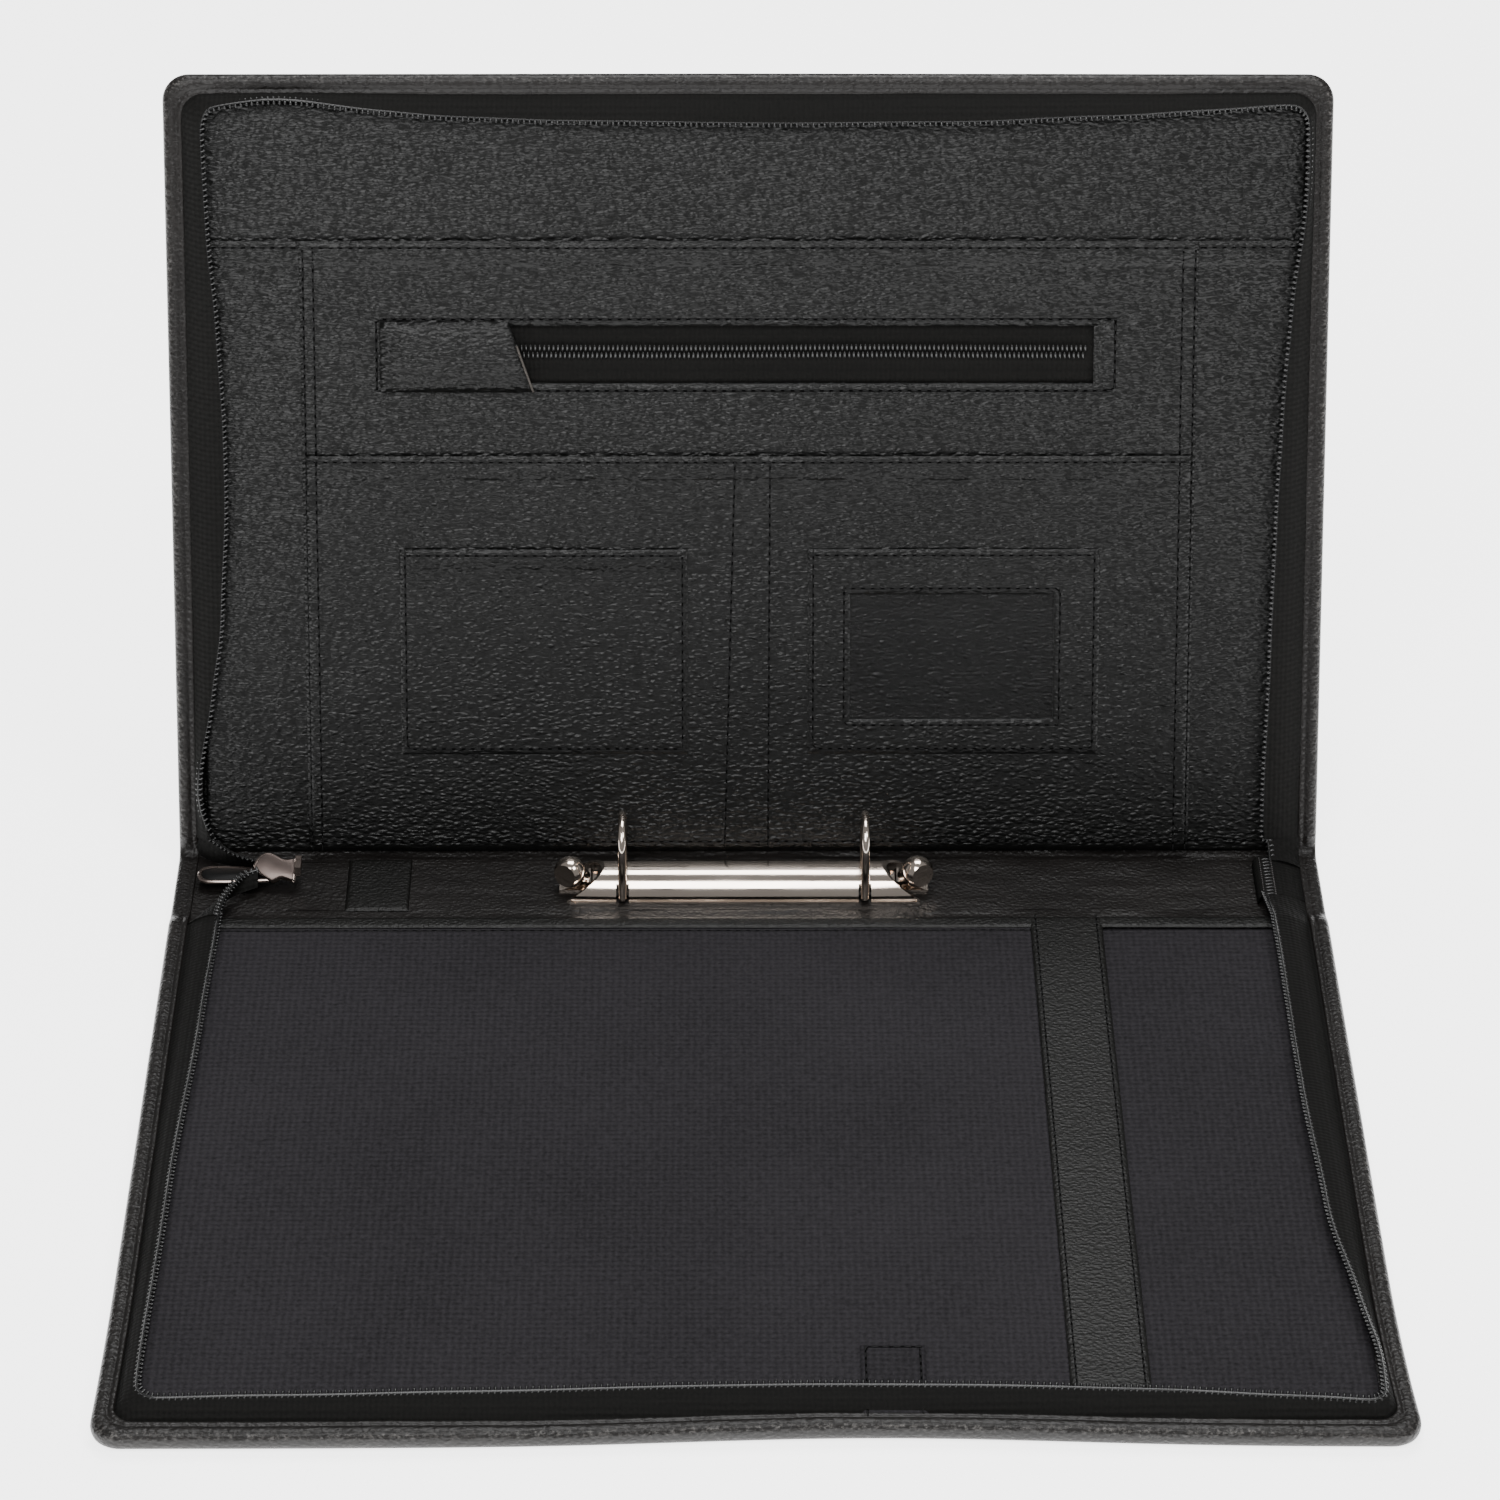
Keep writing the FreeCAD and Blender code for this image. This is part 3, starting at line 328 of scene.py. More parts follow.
def ribbon(name, rows, thick, material, body, slot, **more):
    """A thin solid under a grid of points: rows across, each row running over the ribbon's width."""
    count = len(rows[0])
    rings = []
    for i, row in enumerate(rows):
        before, after = rows[max(i - 1, 0)], rows[min(i + 1, len(rows) - 1)]
        under = []
        for j, point in enumerate(row):
            along = after[j] - before[j]
            across = row[min(j + 1, count - 1)] - row[max(j - 1, 0)]
            under.append(point - along.cross(across).normalized() * thick)
        rings.append(list(row) + under[::-1])
    return loft(name, rings, material, body, slot, **more)


# A capsule's profile: (share of its half length, share of its radius) at each ring.
CAPSULE_PROFILE = ((-1.0, 0.25), (-0.86, 0.75), (-0.5, 1.0), (0.5, 1.0), (0.86, 0.75), (1.0, 0.25))
CAPSULE_SIDES = 6


def turns(count):
    """Evenly spaced angles round a full turn."""
    return [2 * math.pi * k / count for k in range(count)]


def capsule_points(centre, along, across, up, half_length, radius, flat=1.0):
    """Rings of a small capsule lying along a direction."""
    return [[centre + along * (t * half_length)
             + (across * math.cos(a) + up * math.sin(a) * flat) * (r * radius)
             for a in turns(CAPSULE_SIDES)] for t, r in CAPSULE_PROFILE]


class Heap:
    """Many small closed pieces gathered in one mesh."""

    def __init__(self):
        self.points, self.faces = [], []

    def add(self, rings):
        start, count = len(self.points), len(rings[0])
        for ring in rings:
            self.points.extend(ring)
        for face in stitch_rows(rings, closed_rows=True):
            self.faces.append(tuple(start + i for i in face))
        self.faces += end_faces(count, len(rings), start)

    def piece(self, name, material, body, slot):
        return make_piece(name, self.points, self.faces, material, body, slot)


SAME_PLACE = 1e-9           # two points nearer than this are one


def resample(path, pitch):
    """Points at an even pitch along a line of points, each with its direction."""
    out, left = [], 0.0
    for a, b in zip(path, path[1:]):
        length = (b - a).length
        if length < SAME_PLACE:
            continue
        way = (b - a) / length
        at = left
        while at < length:
            out.append((a + way * at, way))
            at += pitch
        left = at - length
    return out


def curve_through(points, steps=10):
    """A smooth line through given points."""
    line = []
    for i in range(len(points) - 1):
        p0 = points[max(i - 1, 0)]
        p1, p2 = points[i], points[i + 1]
        p3 = points[min(i + 2, len(points) - 1)]
        for k in range(steps):
            t = k / steps
            bend = 2 * p0 - 5 * p1 + 4 * p2 - p3
            twist = 3 * p1 - p0 - 3 * p2 + p3
            line.append(0.5 * (2 * p1 + (p2 - p0) * t + bend * t * t + twist * t ** 3))
    line.append(points[-1].copy())
    return line


def clamp(value, low=0.0, high=1.0):
    return max(low, min(high, value))


def between(low, high, t):
    """A value that eases from low to high as t goes from 0 to 1."""
    t = clamp(t)
    return low + (high - low) * (3 - 2 * t) * t * t


def smooth_value(pairs, at):
    """A smooth value between (place, value) pairs."""
    for (a, low), (b, high) in zip(pairs, pairs[1:]):
        if at <= b:
            return between(low, high, (at - a) / (b - a))
    return pairs[-1][1]


# ---------------------------------------------------------------- panel outline

SIDE_STEPS, ARC_STEPS, FRONT_STEPS = 48, 12, 72
CORNER_SHRINK, CORNER_LEAST = 0.3, 6.5 * MM         # corners tighten a little further in


SLACK_FROM, SLACK_LENGTH = mm(185, 75)        # the stretch beside the far edge that gives
SPLAY_LEFT, SPLAY_RIGHT, SPLAY_FROM = mm(-1.2, 2.9, 150)
BOW_DEPTH, BOW_MIDDLE, BOW_WIDTH = mm(4.2, 35, 78)
LID_BOW, LID_BOW_FALL = 0.9 * MM, 0.3               # the lid's far edge bows out, less at its ends


def relaxed(x, v, panel):
    """Where soft wear has moved the panel's outline: a bowed front, and corners that splay out."""
    rise = max(0.0, (v - SLACK_FROM) / SLACK_LENGTH)
    if panel == "base":
        side = clamp(x / SPLAY_FROM, -1.0)
        x += (SPLAY_RIGHT if x > 0 else SPLAY_LEFT) * rise * rise * abs(side) ** 8
        v -= BOW_DEPTH * rise * rise * math.exp(-(((x - BOW_MIDDLE) / BOW_WIDTH) ** 2))
    else:
        v += LID_BOW * rise * rise * (1 - LID_BOW_FALL * abs(x) / HALF)
    return x, v


def outline(inset, start):
    """The line at this inset, from the fold's left end round the panel to its right end."""
    radius = max(CORNER - CORNER_SHRINK * inset, CORNER_LEAST)
    half, far = HALF - inset, DEPTH - inset
    line = [(-half, start + (far - radius - start) * i / SIDE_STEPS) for i in range(SIDE_STEPS)]
    for i in range(ARC_STEPS):
        a = math.pi / 2 * i / ARC_STEPS
        line.append((-half + radius - radius * math.cos(a), far - radius + radius * math.sin(a)))
    width = 2 * (half - radius)
    line += [(-half + radius + width * i / FRONT_STEPS, far) for i in range(FRONT_STEPS + 1)]
    for i in range(1, ARC_STEPS + 1):
        a = math.pi / 2 * (1 - i / ARC_STEPS)
        line.append((half - radius + radius * math.cos(a), far - radius + radius * math.sin(a)))
    line += [(half, far - radius - (far - radius - start) * i / SIDE_STEPS)
             for i in range(1, SIDE_STEPS + 1)]
    panel = "base" if start == BEND else "lid"
    return [relaxed(x, v, panel) for x, v in line]


EDGE_LINE = outline(0, BEND)
ALONG = [0.0]
for here, there in zip(EDGE_LINE, EDGE_LINE[1:]):
    ALONG.append(ALONG[-1] + math.hypot(there[0] - here[0], there[1] - here[1]))
STATIONS = len(EDGE_LINE)

# The edge in section: (distance in from the outline, height, share of pale specks, partly real wear and
# partly a painted highlight).
EDGE_SECTION = [(40, 0.0, 0), (12, 0.0, 0), (5, 0.0, 0), (2.4, 0.25, 0), (1.1, 0.9, 0), (0.35, 1.9, 0.1),
                (0.05, 3.1, 0.1), (0.0, 4.2, 0.2), (0.15, 5.2, 0.5), (0.6, 6.05, 1), (1.3, 6.6, 0.9),
                (2.2, 6.85, 0.3), (3.1, 6.85, 0.05), (3.9, 6.72, 0), (4.35, 6.45, 0), (4.7, 6.42, 0),
                (5.1, 6.62, 0), (5.7, 6.75, 0.1), (6.2, 6.7, 0.1), (6.5, 6.4, 0), (6.6, 5.8, 0),
                (6.6, 4.6, 0), (7.4, 4.4, 0)]


SAG_SEEDS = {"base": 3.1, "lid": 11.7}
SAG_SLOW, SAG_FAST, SAG_WAVES = 0.55 * MM, 0.16 * MM, 14
CREASE, CREASE_WAVES = 0.125 * MM, 90
# How much of the edge gets pale specks (real wear and a painted highlight), varying along it.
WEAR_SHEEN_LEAST, WEAR_SHEEN_SPREAD, WEAR_SHEEN_WAVES = 0.55, 0.6, 30


def sag(name, i):
    """A slow wave of the padded edge, the same for the whole section at a station."""
    seed, s = SAG_SEEDS[name], ALONG[i] * SAG_WAVES
    return (noise.noise(Vector((s, seed, 0))) * SAG_SLOW
            + noise.noise(Vector((s * 4, seed, 5))) * SAG_FAST)


def panel_leather(name, at, start):
    """The padded cover of a panel: outer face, rounded edge and the turned border with its groove."""
    loops = [outline(d * MM, start) for d, _, _ in EDGE_SECTION]
    rows, wear = [], []
    for i in range(STATIONS):
        row = []
        for (d, n, w), loop in zip(EDGE_SECTION, loops):
            share = min(n * MM / PANEL_TOP, 1)
            lift = sag(name, i) * share
            crease = CREASE * noise.noise(Vector((ALONG[i] * CREASE_WAVES, n, 2))) * share
            row.append(at(*loop[i], n * MM + lift + crease))
            # The pale edge specks, partly real wear and partly a painted highlight, vary along the edge.
            rub_and_sheen = noise.noise(Vector((ALONG[i] * WEAR_SHEEN_WAVES, d, 9)))
            wear.append(clamp(w * (WEAR_SHEEN_LEAST + WEAR_SHEEN_SPREAD * rub_and_sheen)))
        rows.append(row)
    count = len(EDGE_SECTION)
    outer = tuple(i * count for i in range(STATIONS))
    inner = tuple(i * count + count - 1 for i in reversed(range(STATIONS)))
    first, last = end_faces(count, STATIONS)
    points = [p for row in rows for p in row]
    piece = make_piece(name + "_leather", points, stitch_rows(rows) + [outer, inner, first + last], COVER,
                       name, "black_leather", wear=wear, angle=50)
    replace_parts(piece, f"{name}_cover", f"{name}_padding", f"{name}_board")


panel_leather("base", base_at, BEND)
panel_leather("lid", lid_at, LID_START)


# ---------------------------------------------------------------- spine and its folds

RIM, FLAT_FROM = EDGE_SECTION[1][0] * MM, EDGE_SECTION[-1][0] * MM
CHANNEL_STEPS, CHANNEL_RIPPLE = 90, 0.35 * MM


def channel_ring(place, normal, high, low, seed):
    """One closed section across the case: border, floor, border and outer face. place is (y, z)."""
    def at(x, n):
        return Vector((x, place[0] + normal[0] * n, place[1] + normal[1] * n))
    left = [(d * MM, n * MM * high / PANEL_TOP) for d, n, _ in EDGE_SECTION[1:-2]]
    left += [(EDGE_SECTION[-2][0] * MM, low + 0.3 * MM), (FLAT_FROM, low)]
    ring = [at(-HALF + d, n) for d, n in left]
    for i in range(1, CHANNEL_STEPS):
        x = -HALF + FLAT_FROM + 2 * (HALF - FLAT_FROM) * i / CHANNEL_STEPS
        ring.append(at(x, low + noise.noise(Vector((x * 45, seed * 0.6, 1))) * CHANNEL_RIPPLE))
    ring += [at(HALF - d, n) for d, n in reversed(left)]
    for i in range(1, CHANNEL_STEPS):
        ring.append(at(HALF - RIM - 2 * (HALF - RIM) * i / CHANNEL_STEPS, 0))
    return ring


def channel(name, stations, body):
    rows = [channel_ring((p.y, p.z), normal, high, low, k)
            for k, (p, normal, high, low) in enumerate(stations)]
    # The folds get none of the pale edge specks (wear and painted highlight).
    no_wear_or_highlight = [0.0] * (len(rows) * len(rows[0]))
    return loft(name, rows, COVER, body, "black_leather", wear=no_wear_or_highlight, angle=50)


UP = (0.0, 1.0)
FOLD_STEPS, HEEL_STEPS = 12, 16
FOLD_DIP, FOLD_DIP_HALF = mm(0.6, 2.5)        # the crease along the front fold
HEEL_DIP = 0.5 * MM
corner_y = LID_FOLD.y + HINGE * math.tan(LEAN / 2)
arc_radius = BEND / math.tan(LEAN / 2)
front_join, rear_join = 5 * MM, corner_y - BEND - BASE_FOLD.y

fold_stations = []
for k in range(FOLD_STEPS + 1):
    v = -BEND + (BEND + front_join) * k / FOLD_STEPS
    dip = FOLD_DIP * math.exp(-((v / FOLD_DIP_HALF) ** 2))
    fold_stations.append((spine_at(0, v, 0), UP, between(PANEL_TOP, SPINE_TOP, k / FOLD_STEPS) - dip,
                          between(FLOOR, SPINE_FLOOR, k / 9)))
spine_stations = [(spine_at(0, front_join + (rear_join - front_join) * k / FOLD_STEPS, 0), UP, SPINE_TOP,
                   SPINE_FLOOR) for k in range(FOLD_STEPS + 1)]
heel_stations = []
for k in range(HEEL_STEPS + 1):
    a = LEAN * k / HEEL_STEPS
    dip = HEEL_DIP * math.sin(math.pi * k / HEEL_STEPS)
    point = spine_at(0, rear_join + arc_radius * math.sin(a), arc_radius * (1 - math.cos(a)))
    heel_stations.append((point, (-math.sin(a), math.cos(a)),
                          between(SPINE_TOP, PANEL_TOP, (k - 4) / 12) - dip,
                          between(SPINE_FLOOR, FLOOR, (k - 10) / 6) - dip))

front_fold = channel("front_fold_leather", fold_stations, None)
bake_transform(front_fold)
spine_leather = channel("spine_leather", spine_stations, "spine")
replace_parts(spine_leather, "spine_cover", "spine_stiffener", "spine_lining")
heel_leather = channel("heel_leather", heel_stations, None)
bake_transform(heel_leather)

# ---------------------------------------------------------------- sheets, pockets and stitching

PLACES = {"base": base_at, "lid": lid_at}
STITCHES = {"base": Heap(), "lid": Heap()}
SEAM_SHADE_STRIPS = {"base": Heap(), "lid": Heap()}
STITCH_PITCH, STITCH_HALF, STITCH_RADIUS, STITCH_FLAT = 3.2 * MM, 1.05 * MM, 0.25 * MM, 0.8
STITCH_LIFT = 0.08 * MM
GROOVE_PITCH, GROOVE_HALF, GROOVE_TAPER = 2.5 * MM, 0.4 * MM, 0.6
GROOVE_UNDER, GROOVE_OVER = mm(0.3, 0.06)


def seam(body, line, height):
    """A row of stitches along (x, v) points, over a dark strip that paints the shade of the groove the
    thread has pulled down.
    """
    at = PLACES[body]
    path = [at(x, v, height(x, v)) for x, v in line]
    up = (at(0, 0, 1) - at(0, 0, 0)).normalized()
    for point, way in resample(path, STITCH_PITCH):
        across = way.cross(up).normalized()
        STITCHES[body].add(capsule_points(point + up * STITCH_LIFT, way, across, up, STITCH_HALF,
                                          STITCH_RADIUS, STITCH_FLAT))
    # The dark strip along the seam, standing a hair above the surface: painted shade of the groove.
    rings = []
    for point, way in resample(path, GROOVE_PITCH):
        across = way.cross(up).normalized() * GROOVE_HALF
        under, over = up * -GROOVE_UNDER, up * GROOVE_OVER
        rings.append([point + across + under, point - across + under,
                      point - across * GROOVE_TAPER + over, point + across * GROOVE_TAPER + over])
    SEAM_SHADE_STRIPS[body].add(rings)


EDGE_GAPS = (0.0, 0.35 * MM, 0.8 * MM, 1.5 * MM)    # extra grid lines beside every edge
LEAST_GAP = 0.12 * MM
ROUNDED = 1.2 * MM                                  # how far in from an edge a slab is rounded


def lines_between(low, high, step, extra=()):
    """Grid lines from low to high, closer beside both ends and beside the extra places."""
    count = max(2, round((high - low) / step))
    values = {low + (high - low) * i / count for i in range(count + 1)}
    for place in (low, high, *extra):
        for gap in EDGE_GAPS:
            values.update(w for w in (place + gap, place - gap) if low <= w <= high)
    out = []
    for w in sorted(values):
        if not out or w - out[-1] > LEAST_GAP:
            out.append(w)
    out[-1] = high
    return out


def edge_drop(x, v, box, holes):
    """How far the surface falls at its own edges, so that they look rounded."""
    near = min(x - box[0], box[1] - x, v - box[2], box[3] - v)
    for a, b, c, d in holes:
        outside = max(a - x, x - b, c - v, v - d)
        near = min(near, max(outside, 0.0))
    return (1 - clamp(near / ROUNDED)) ** 2


def slab(name, at, box, top, thick, material, body, slot, holes=(), step=5 * MM, drop=0.45 * MM,
         extra_v=()):
    """A soft flat piece over a rectangle (x low, x high, v low, v high), with windows."""
    xs = lines_between(box[0], box[1], step, [w for h in holes for w in h[:2]])
    vs = lines_between(box[2], box[3], step, [w for h in holes for w in h[2:]] + list(extra_v))
    upper, lower = {}, {}
    points, faces = [], []
    for i, x in enumerate(xs):
        for j, v in enumerate(vs):
            n = top(x, v) - drop * edge_drop(x, v, box, holes)
            upper[i, j] = len(points)
            points.append(at(x, v, n))
    for i, x in enumerate(xs):
        for j, v in enumerate(vs):
            lower[i, j] = len(points)
            points.append(at(x, v, top(x, v) - thick))

    def solid(i, j):
        if not (0 <= i < len(xs) - 1 and 0 <= j < len(vs) - 1):
            return False
        x, v = (xs[i] + xs[i + 1]) / 2, (vs[j] + vs[j + 1]) / 2
        return not any(a < x < b and c < v < d for a, b, c, d in holes)

    for i in range(len(xs) - 1):
        for j in range(len(vs) - 1):
            if not solid(i, j):
                continue
            corners = ((i, j), (i + 1, j), (i + 1, j + 1), (i, j + 1))
            faces.append(tuple(upper[c] for c in corners))
            faces.append(tuple(lower[c] for c in reversed(corners)))
            for (di, dj), a, b in (((0, -1), 0, 1), ((1, 0), 1, 2), ((0, 1), 2, 3), ((-1, 0), 3, 0)):
                if not solid(i + di, j + dj):
                    faces.append((upper[corners[b]], upper[corners[a]], lower[corners[a]],
                                  lower[corners[b]]))
    return make_piece(name, points, faces, material, body, slot, angle=55)


RIPPLE_SEEDS = {"base_lining": 1, "base_pocket": 2, "strap": 4, "pen_tab": 5, "fold_hem": 6,
                "pen_loop": 7, "lid_lining": 20, "document": 21, "organiser": 22, "notes": 23,
                "garage": 31}
RIPPLE_WAVES = ((22, 0.7), (60, 0.3))               # (waves, share of the height)


def ripple(x, v, name, amount):
    """The slight unevenness of a soft piece."""
    seed = RIPPLE_SEEDS[name]
    return amount * sum(noise.noise(Vector((x * waves, v * waves, seed))) * share
                        for waves, share in RIPPLE_WAVES)


def straight(x0, v0, x1, v1, steps=40):
    return [(x0 + (x1 - x0) * i / steps, v0 + (v1 - v0) * i / steps) for i in range(steps + 1)]


def three_sides(x0, x1, v0, v1):
    """Down the left, along the bottom and up the right."""
    return straight(x0, v1, x0, v0) + straight(x0, v0, x1, v0) + straight(x1, v0, x1, v1)


def grown(box, by):
    """A box (x low, x high, v low, v high) made larger on all four sides."""
    return box[0] - by, box[1] + by, box[2] - by, box[3] + by


# Base: woven lining with a leather hem at the fold, the pocket's cloth, its strap and the pen tab.
INNER = 8.2 * MM                                   # lining edge, in from the outline
POCKET_INSET = 9.5 * MM                            # pocket edges, in from the outline
BASE_POCKET = (-HALF + POCKET_INSET, 108 * MM, 6 * MM, DEPTH - POCKET_INSET)
STRAP = (92 * MM, 115.5 * MM, 4.5 * MM, DEPTH - POCKET_INSET)
TAB = (31.3 * MM, 50.3 * MM, 219.8 * MM, DEPTH - POCKET_INSET)
HEM = (-HALF + 10 * MM, HALF - 10 * MM, 3.9 * MM, 9.6 * MM)
BASE_LINING = (-HALF + INNER, HALF - INNER, HEM[2] + 1 * MM, DEPTH - INNER)
CLOTH = 0.5 * MM                                   # thickness of the woven cloths
POCKET_TOP, POCKET_BELLY = mm(5.7, 0.35)
STRAP_TOP, STRAP_THICK, STRAP_SEAM = mm(6.75, 0.9, 1.8)
TAB_TOP, TAB_THICK, TAB_SEAM, TAB_SEAM_TOP = mm(6.8, 0.8, 1.5, 6.85)
HEM_TOP, HEM_THICK, HEM_SEAM = mm(6.5, 0.7, 10.7)


def base_lining_top(x, v):
    return INSIDE + ripple(x, v, "base_lining", 0.12 * MM)


def base_pocket_top(x, v):
    belly = math.sin(math.pi * clamp((x + HALF) / (285 * MM))) * math.sin(math.pi * v / DEPTH)
    return POCKET_TOP + POCKET_BELLY * belly + ripple(x, v, "base_pocket", 0.35 * MM)


def strap_top(x, v):
    return STRAP_TOP + ripple(x, v, "strap", 0.2 * MM)


base_lining = slab("base_lining_cloth", base_at, BASE_LINING, base_lining_top, CLOTH, LINING, "base",
                   "woven_lining")
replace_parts(base_lining, "base_lining")
base_pocket = slab("base_pocket_cloth", base_at, BASE_POCKET, base_pocket_top, CLOTH, LINING, "base",
                   "woven_lining", step=4 * MM)
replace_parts(base_pocket, "base_pocket")
base_strap = slab("base_pocket_strap", base_at, STRAP, strap_top, STRAP_THICK, STRIP, "base",
                  "lining_leather")
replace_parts(base_strap, "base_pocket_trim")
pen_tab = slab("base_pen_tab_leather", base_at, TAB,
               lambda x, v: TAB_TOP + ripple(x, v, "pen_tab", 0.15 * MM), TAB_THICK, LINING, "base",
               "lining_leather")
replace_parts(pen_tab, "base_pen_tab")
slab("base_fold_hem", base_at, HEM, lambda x, v: HEM_TOP + ripple(x, v, "fold_hem", 0.2 * MM), HEM_THICK,
     STRIP, "base", "lining_leather", step=4 * MM)
for x in (STRAP[0] + STRAP_SEAM, STRAP[1] - STRAP_SEAM):
    seam("base", straight(x, STRAP[2], x, STRAP[3]), strap_top)
seam("base", straight(-HALF + 12 * MM, HEM_SEAM, STRAP[0], HEM_SEAM, 90), base_pocket_top)
seam("base", three_sides(TAB[0] + TAB_SEAM, TAB[1] - TAB_SEAM, TAB[2] + TAB_SEAM, TAB[3]),
     lambda x, v: TAB_SEAM_TOP)

# Lid: the lining, then the document pocket, organiser panel, notes pocket and the two card pockets.
ZIP_WINDOW = mm(-119.4, 114, 159.9, 179)
LID_LINING = (-HALF + INNER, HALF - INNER, 2.8 * MM, DEPTH - INNER)
DOC = (-HALF + POCKET_INSET, HALF - POCKET_INSET, 2.8 * MM, 206.8 * MM)
ORG = mm(-146.5, 146.8, 3.4, 206.3)
NOTES = mm(-145.2, 145.6, 4.0, 136.2)
CARD = mm(-115, -20, 36.2, 105.2)
IDP = mm(19.6, 116, 36.2, 105.2)
ID_HOLE = mm(33.6, 101, 48, 90.1)
ID_FRAME = grown(ID_HOLE, 2 * MM)
PANEL_SKIN, CARD_SKIN, FILM_SKIN = mm(0.9, 0.8, 0.15)
DOC_TOP, ORG_STEP, NOTES_STEP, CARD_STEP = mm(5.95, 0.85, 1.75, 0.75)
HEM_WIDTH, CARD_HEM = mm(8, 7)


def mouth(x, v, box, depth_in, lift):
    """A pocket's slack opening: the free edge stands off a little, most in the middle."""
    t = clamp(1 - (box[3] - v) / depth_in)
    across = math.sin(math.pi * clamp((x - box[0]) / (box[1] - box[0])))
    return lift * t * t * across ** 0.6


def hem(v, edge, width=HEM_WIDTH):
    """The doubled leather along a pocket's opening."""
    return 0.35 * MM * clamp((v - (edge - width)) / (0.8 * MM))


def doc_top(x, v):
    return (DOC_TOP + mouth(x, v, DOC, 45 * MM, 1.0 * MM) + hem(v, DOC[3])
            + ripple(x, v, "document", 0.45 * MM))


def org_top(x, v):
    return doc_top(x, v) + ORG_STEP + ripple(x, v, "organiser", 0.25 * MM)


def notes_top(x, v):
    return (doc_top(x, v) + NOTES_STEP + mouth(x, v, NOTES, 40 * MM, 1.3 * MM) + hem(v, NOTES[3])
            + ripple(x, v, "notes", 0.5 * MM))


def card_top(x, v):
    return (notes_top(x, v) + CARD_STEP + mouth(x, v, CARD, 30 * MM, 0.7 * MM)
            + hem(v, CARD[3], CARD_HEM))


def id_top(x, v):
    return notes_top(x, v) + CARD_STEP + mouth(x, v, IDP, 30 * MM, 0.6 * MM)


def lid_slab(name, box, top, thick, **more):
    return slab(name, lid_at, box, top, thick, POCKET, "lid", "lining_leather", **more)


lid_lining = lid_slab("lid_lining_leather", LID_LINING,
                      lambda x, v: INSIDE + ripple(x, v, "lid_lining", 0.2 * MM), 0.6 * MM)
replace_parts(lid_lining, "lid_lining")
pieces = (("document_pocket_leather", "document_pocket", DOC, doc_top, PANEL_SKIN, (ZIP_WINDOW,)),
          ("organiser_leather", "organiser_panel", ORG, org_top, PANEL_SKIN, (ZIP_WINDOW,)),
          ("notes_pocket_leather", "notes_pocket", NOTES, notes_top, PANEL_SKIN, ()),
          ("card_pocket_leather", "card_pocket", CARD, card_top, CARD_SKIN, ()),
          ("id_pocket_leather", "id_pocket", IDP, id_top, CARD_SKIN, (ID_HOLE,)))
for name, node, box, top, thick, holes in pieces:
    piece = lid_slab(name, box, top, thick, holes=holes, step=4 * MM, extra_v=(box[3] - HEM_WIDTH,))
    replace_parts(piece, node)
window_film = slab("id_window_film", lid_at, ID_FRAME, lambda x, v: id_top(x, v) - 0.55 * MM, FILM_SKIN,
                   FILM, "lid", "clear_film")
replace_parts(window_film, "id_window")


def side_height(x, v):
    """Whichever is higher beside the notes pocket: that pocket or the organiser panel."""
    on_notes = v < NOTES[3] and abs(x) < -NOTES[0]
    return max(org_top(x, v), notes_top(x, v) if on_notes else 0)


def foot_height(x, v):
    return notes_top(x, v) if abs(x) < 145 * MM else doc_top(x, v)


def opening_height(x, v):
    """Under the seam of the document pocket's opening, where the organiser panel lies on it."""
    return org_top(x, v) if abs(x) < ORG[1] else doc_top(x, v)


for x in (-145.3 * MM, -142.0 * MM, 141.8 * MM, 145.8 * MM):
    seam("lid", straight(x, 4 * MM, x, 205 * MM, 80), side_height)
seam("lid", straight(DOC[0], 6.2 * MM, DOC[1], 6.2 * MM, 120), foot_height)
for box, top, gap in ((DOC, opening_height, 2.2 * MM), (NOTES, notes_top, 2.0 * MM),
                      (CARD, card_top, 2.0 * MM), (IDP, id_top, 2.0 * MM)):
    v = box[3] - gap
    seam("lid", straight(box[0] + 1.5 * MM, v, box[1] - 1.5 * MM, v, 90), top)
for box, top in ((CARD, card_top), (IDP, id_top)):
    x0, x1, v0, _ = grown(box, -1.8 * MM)
    seam("lid", three_sides(x0, x1, v0, box[3] - 1 * MM), top)
x0, x1, v0, v1 = ID_FRAME
seam("lid", three_sides(x0, x1, v0, v1) + straight(x1, v1, x0, v1), id_top)

# The pen slot down the middle of the notes pocket: two edges and their stitching.
for top_x, foot_x in ((-4.4 * MM, -7.8 * MM), (7.1 * MM, 6.6 * MM)):
    seam("lid", straight(foot_x, 6 * MM, top_x, NOTES[3] - 1 * MM, 60), notes_top)

LOOP = (-133 * MM, -112 * MM, 4 * MM, SPINE - 6.5 * MM)
LOOP_SKIN = 0.8 * MM
pen_loop = slab("pen_loop_leather", spine_at, LOOP,
                lambda x, v: SPINE_FLOOR + LOOP_SKIN + ripple(x, v, "pen_loop", 0.15 * MM), LOOP_SKIN,
                STRIP, "spine", "lining_leather", drop=0.6 * MM)
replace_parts(pen_loop, "pen_loop")


# ---------------------------------------------------------------- main zip

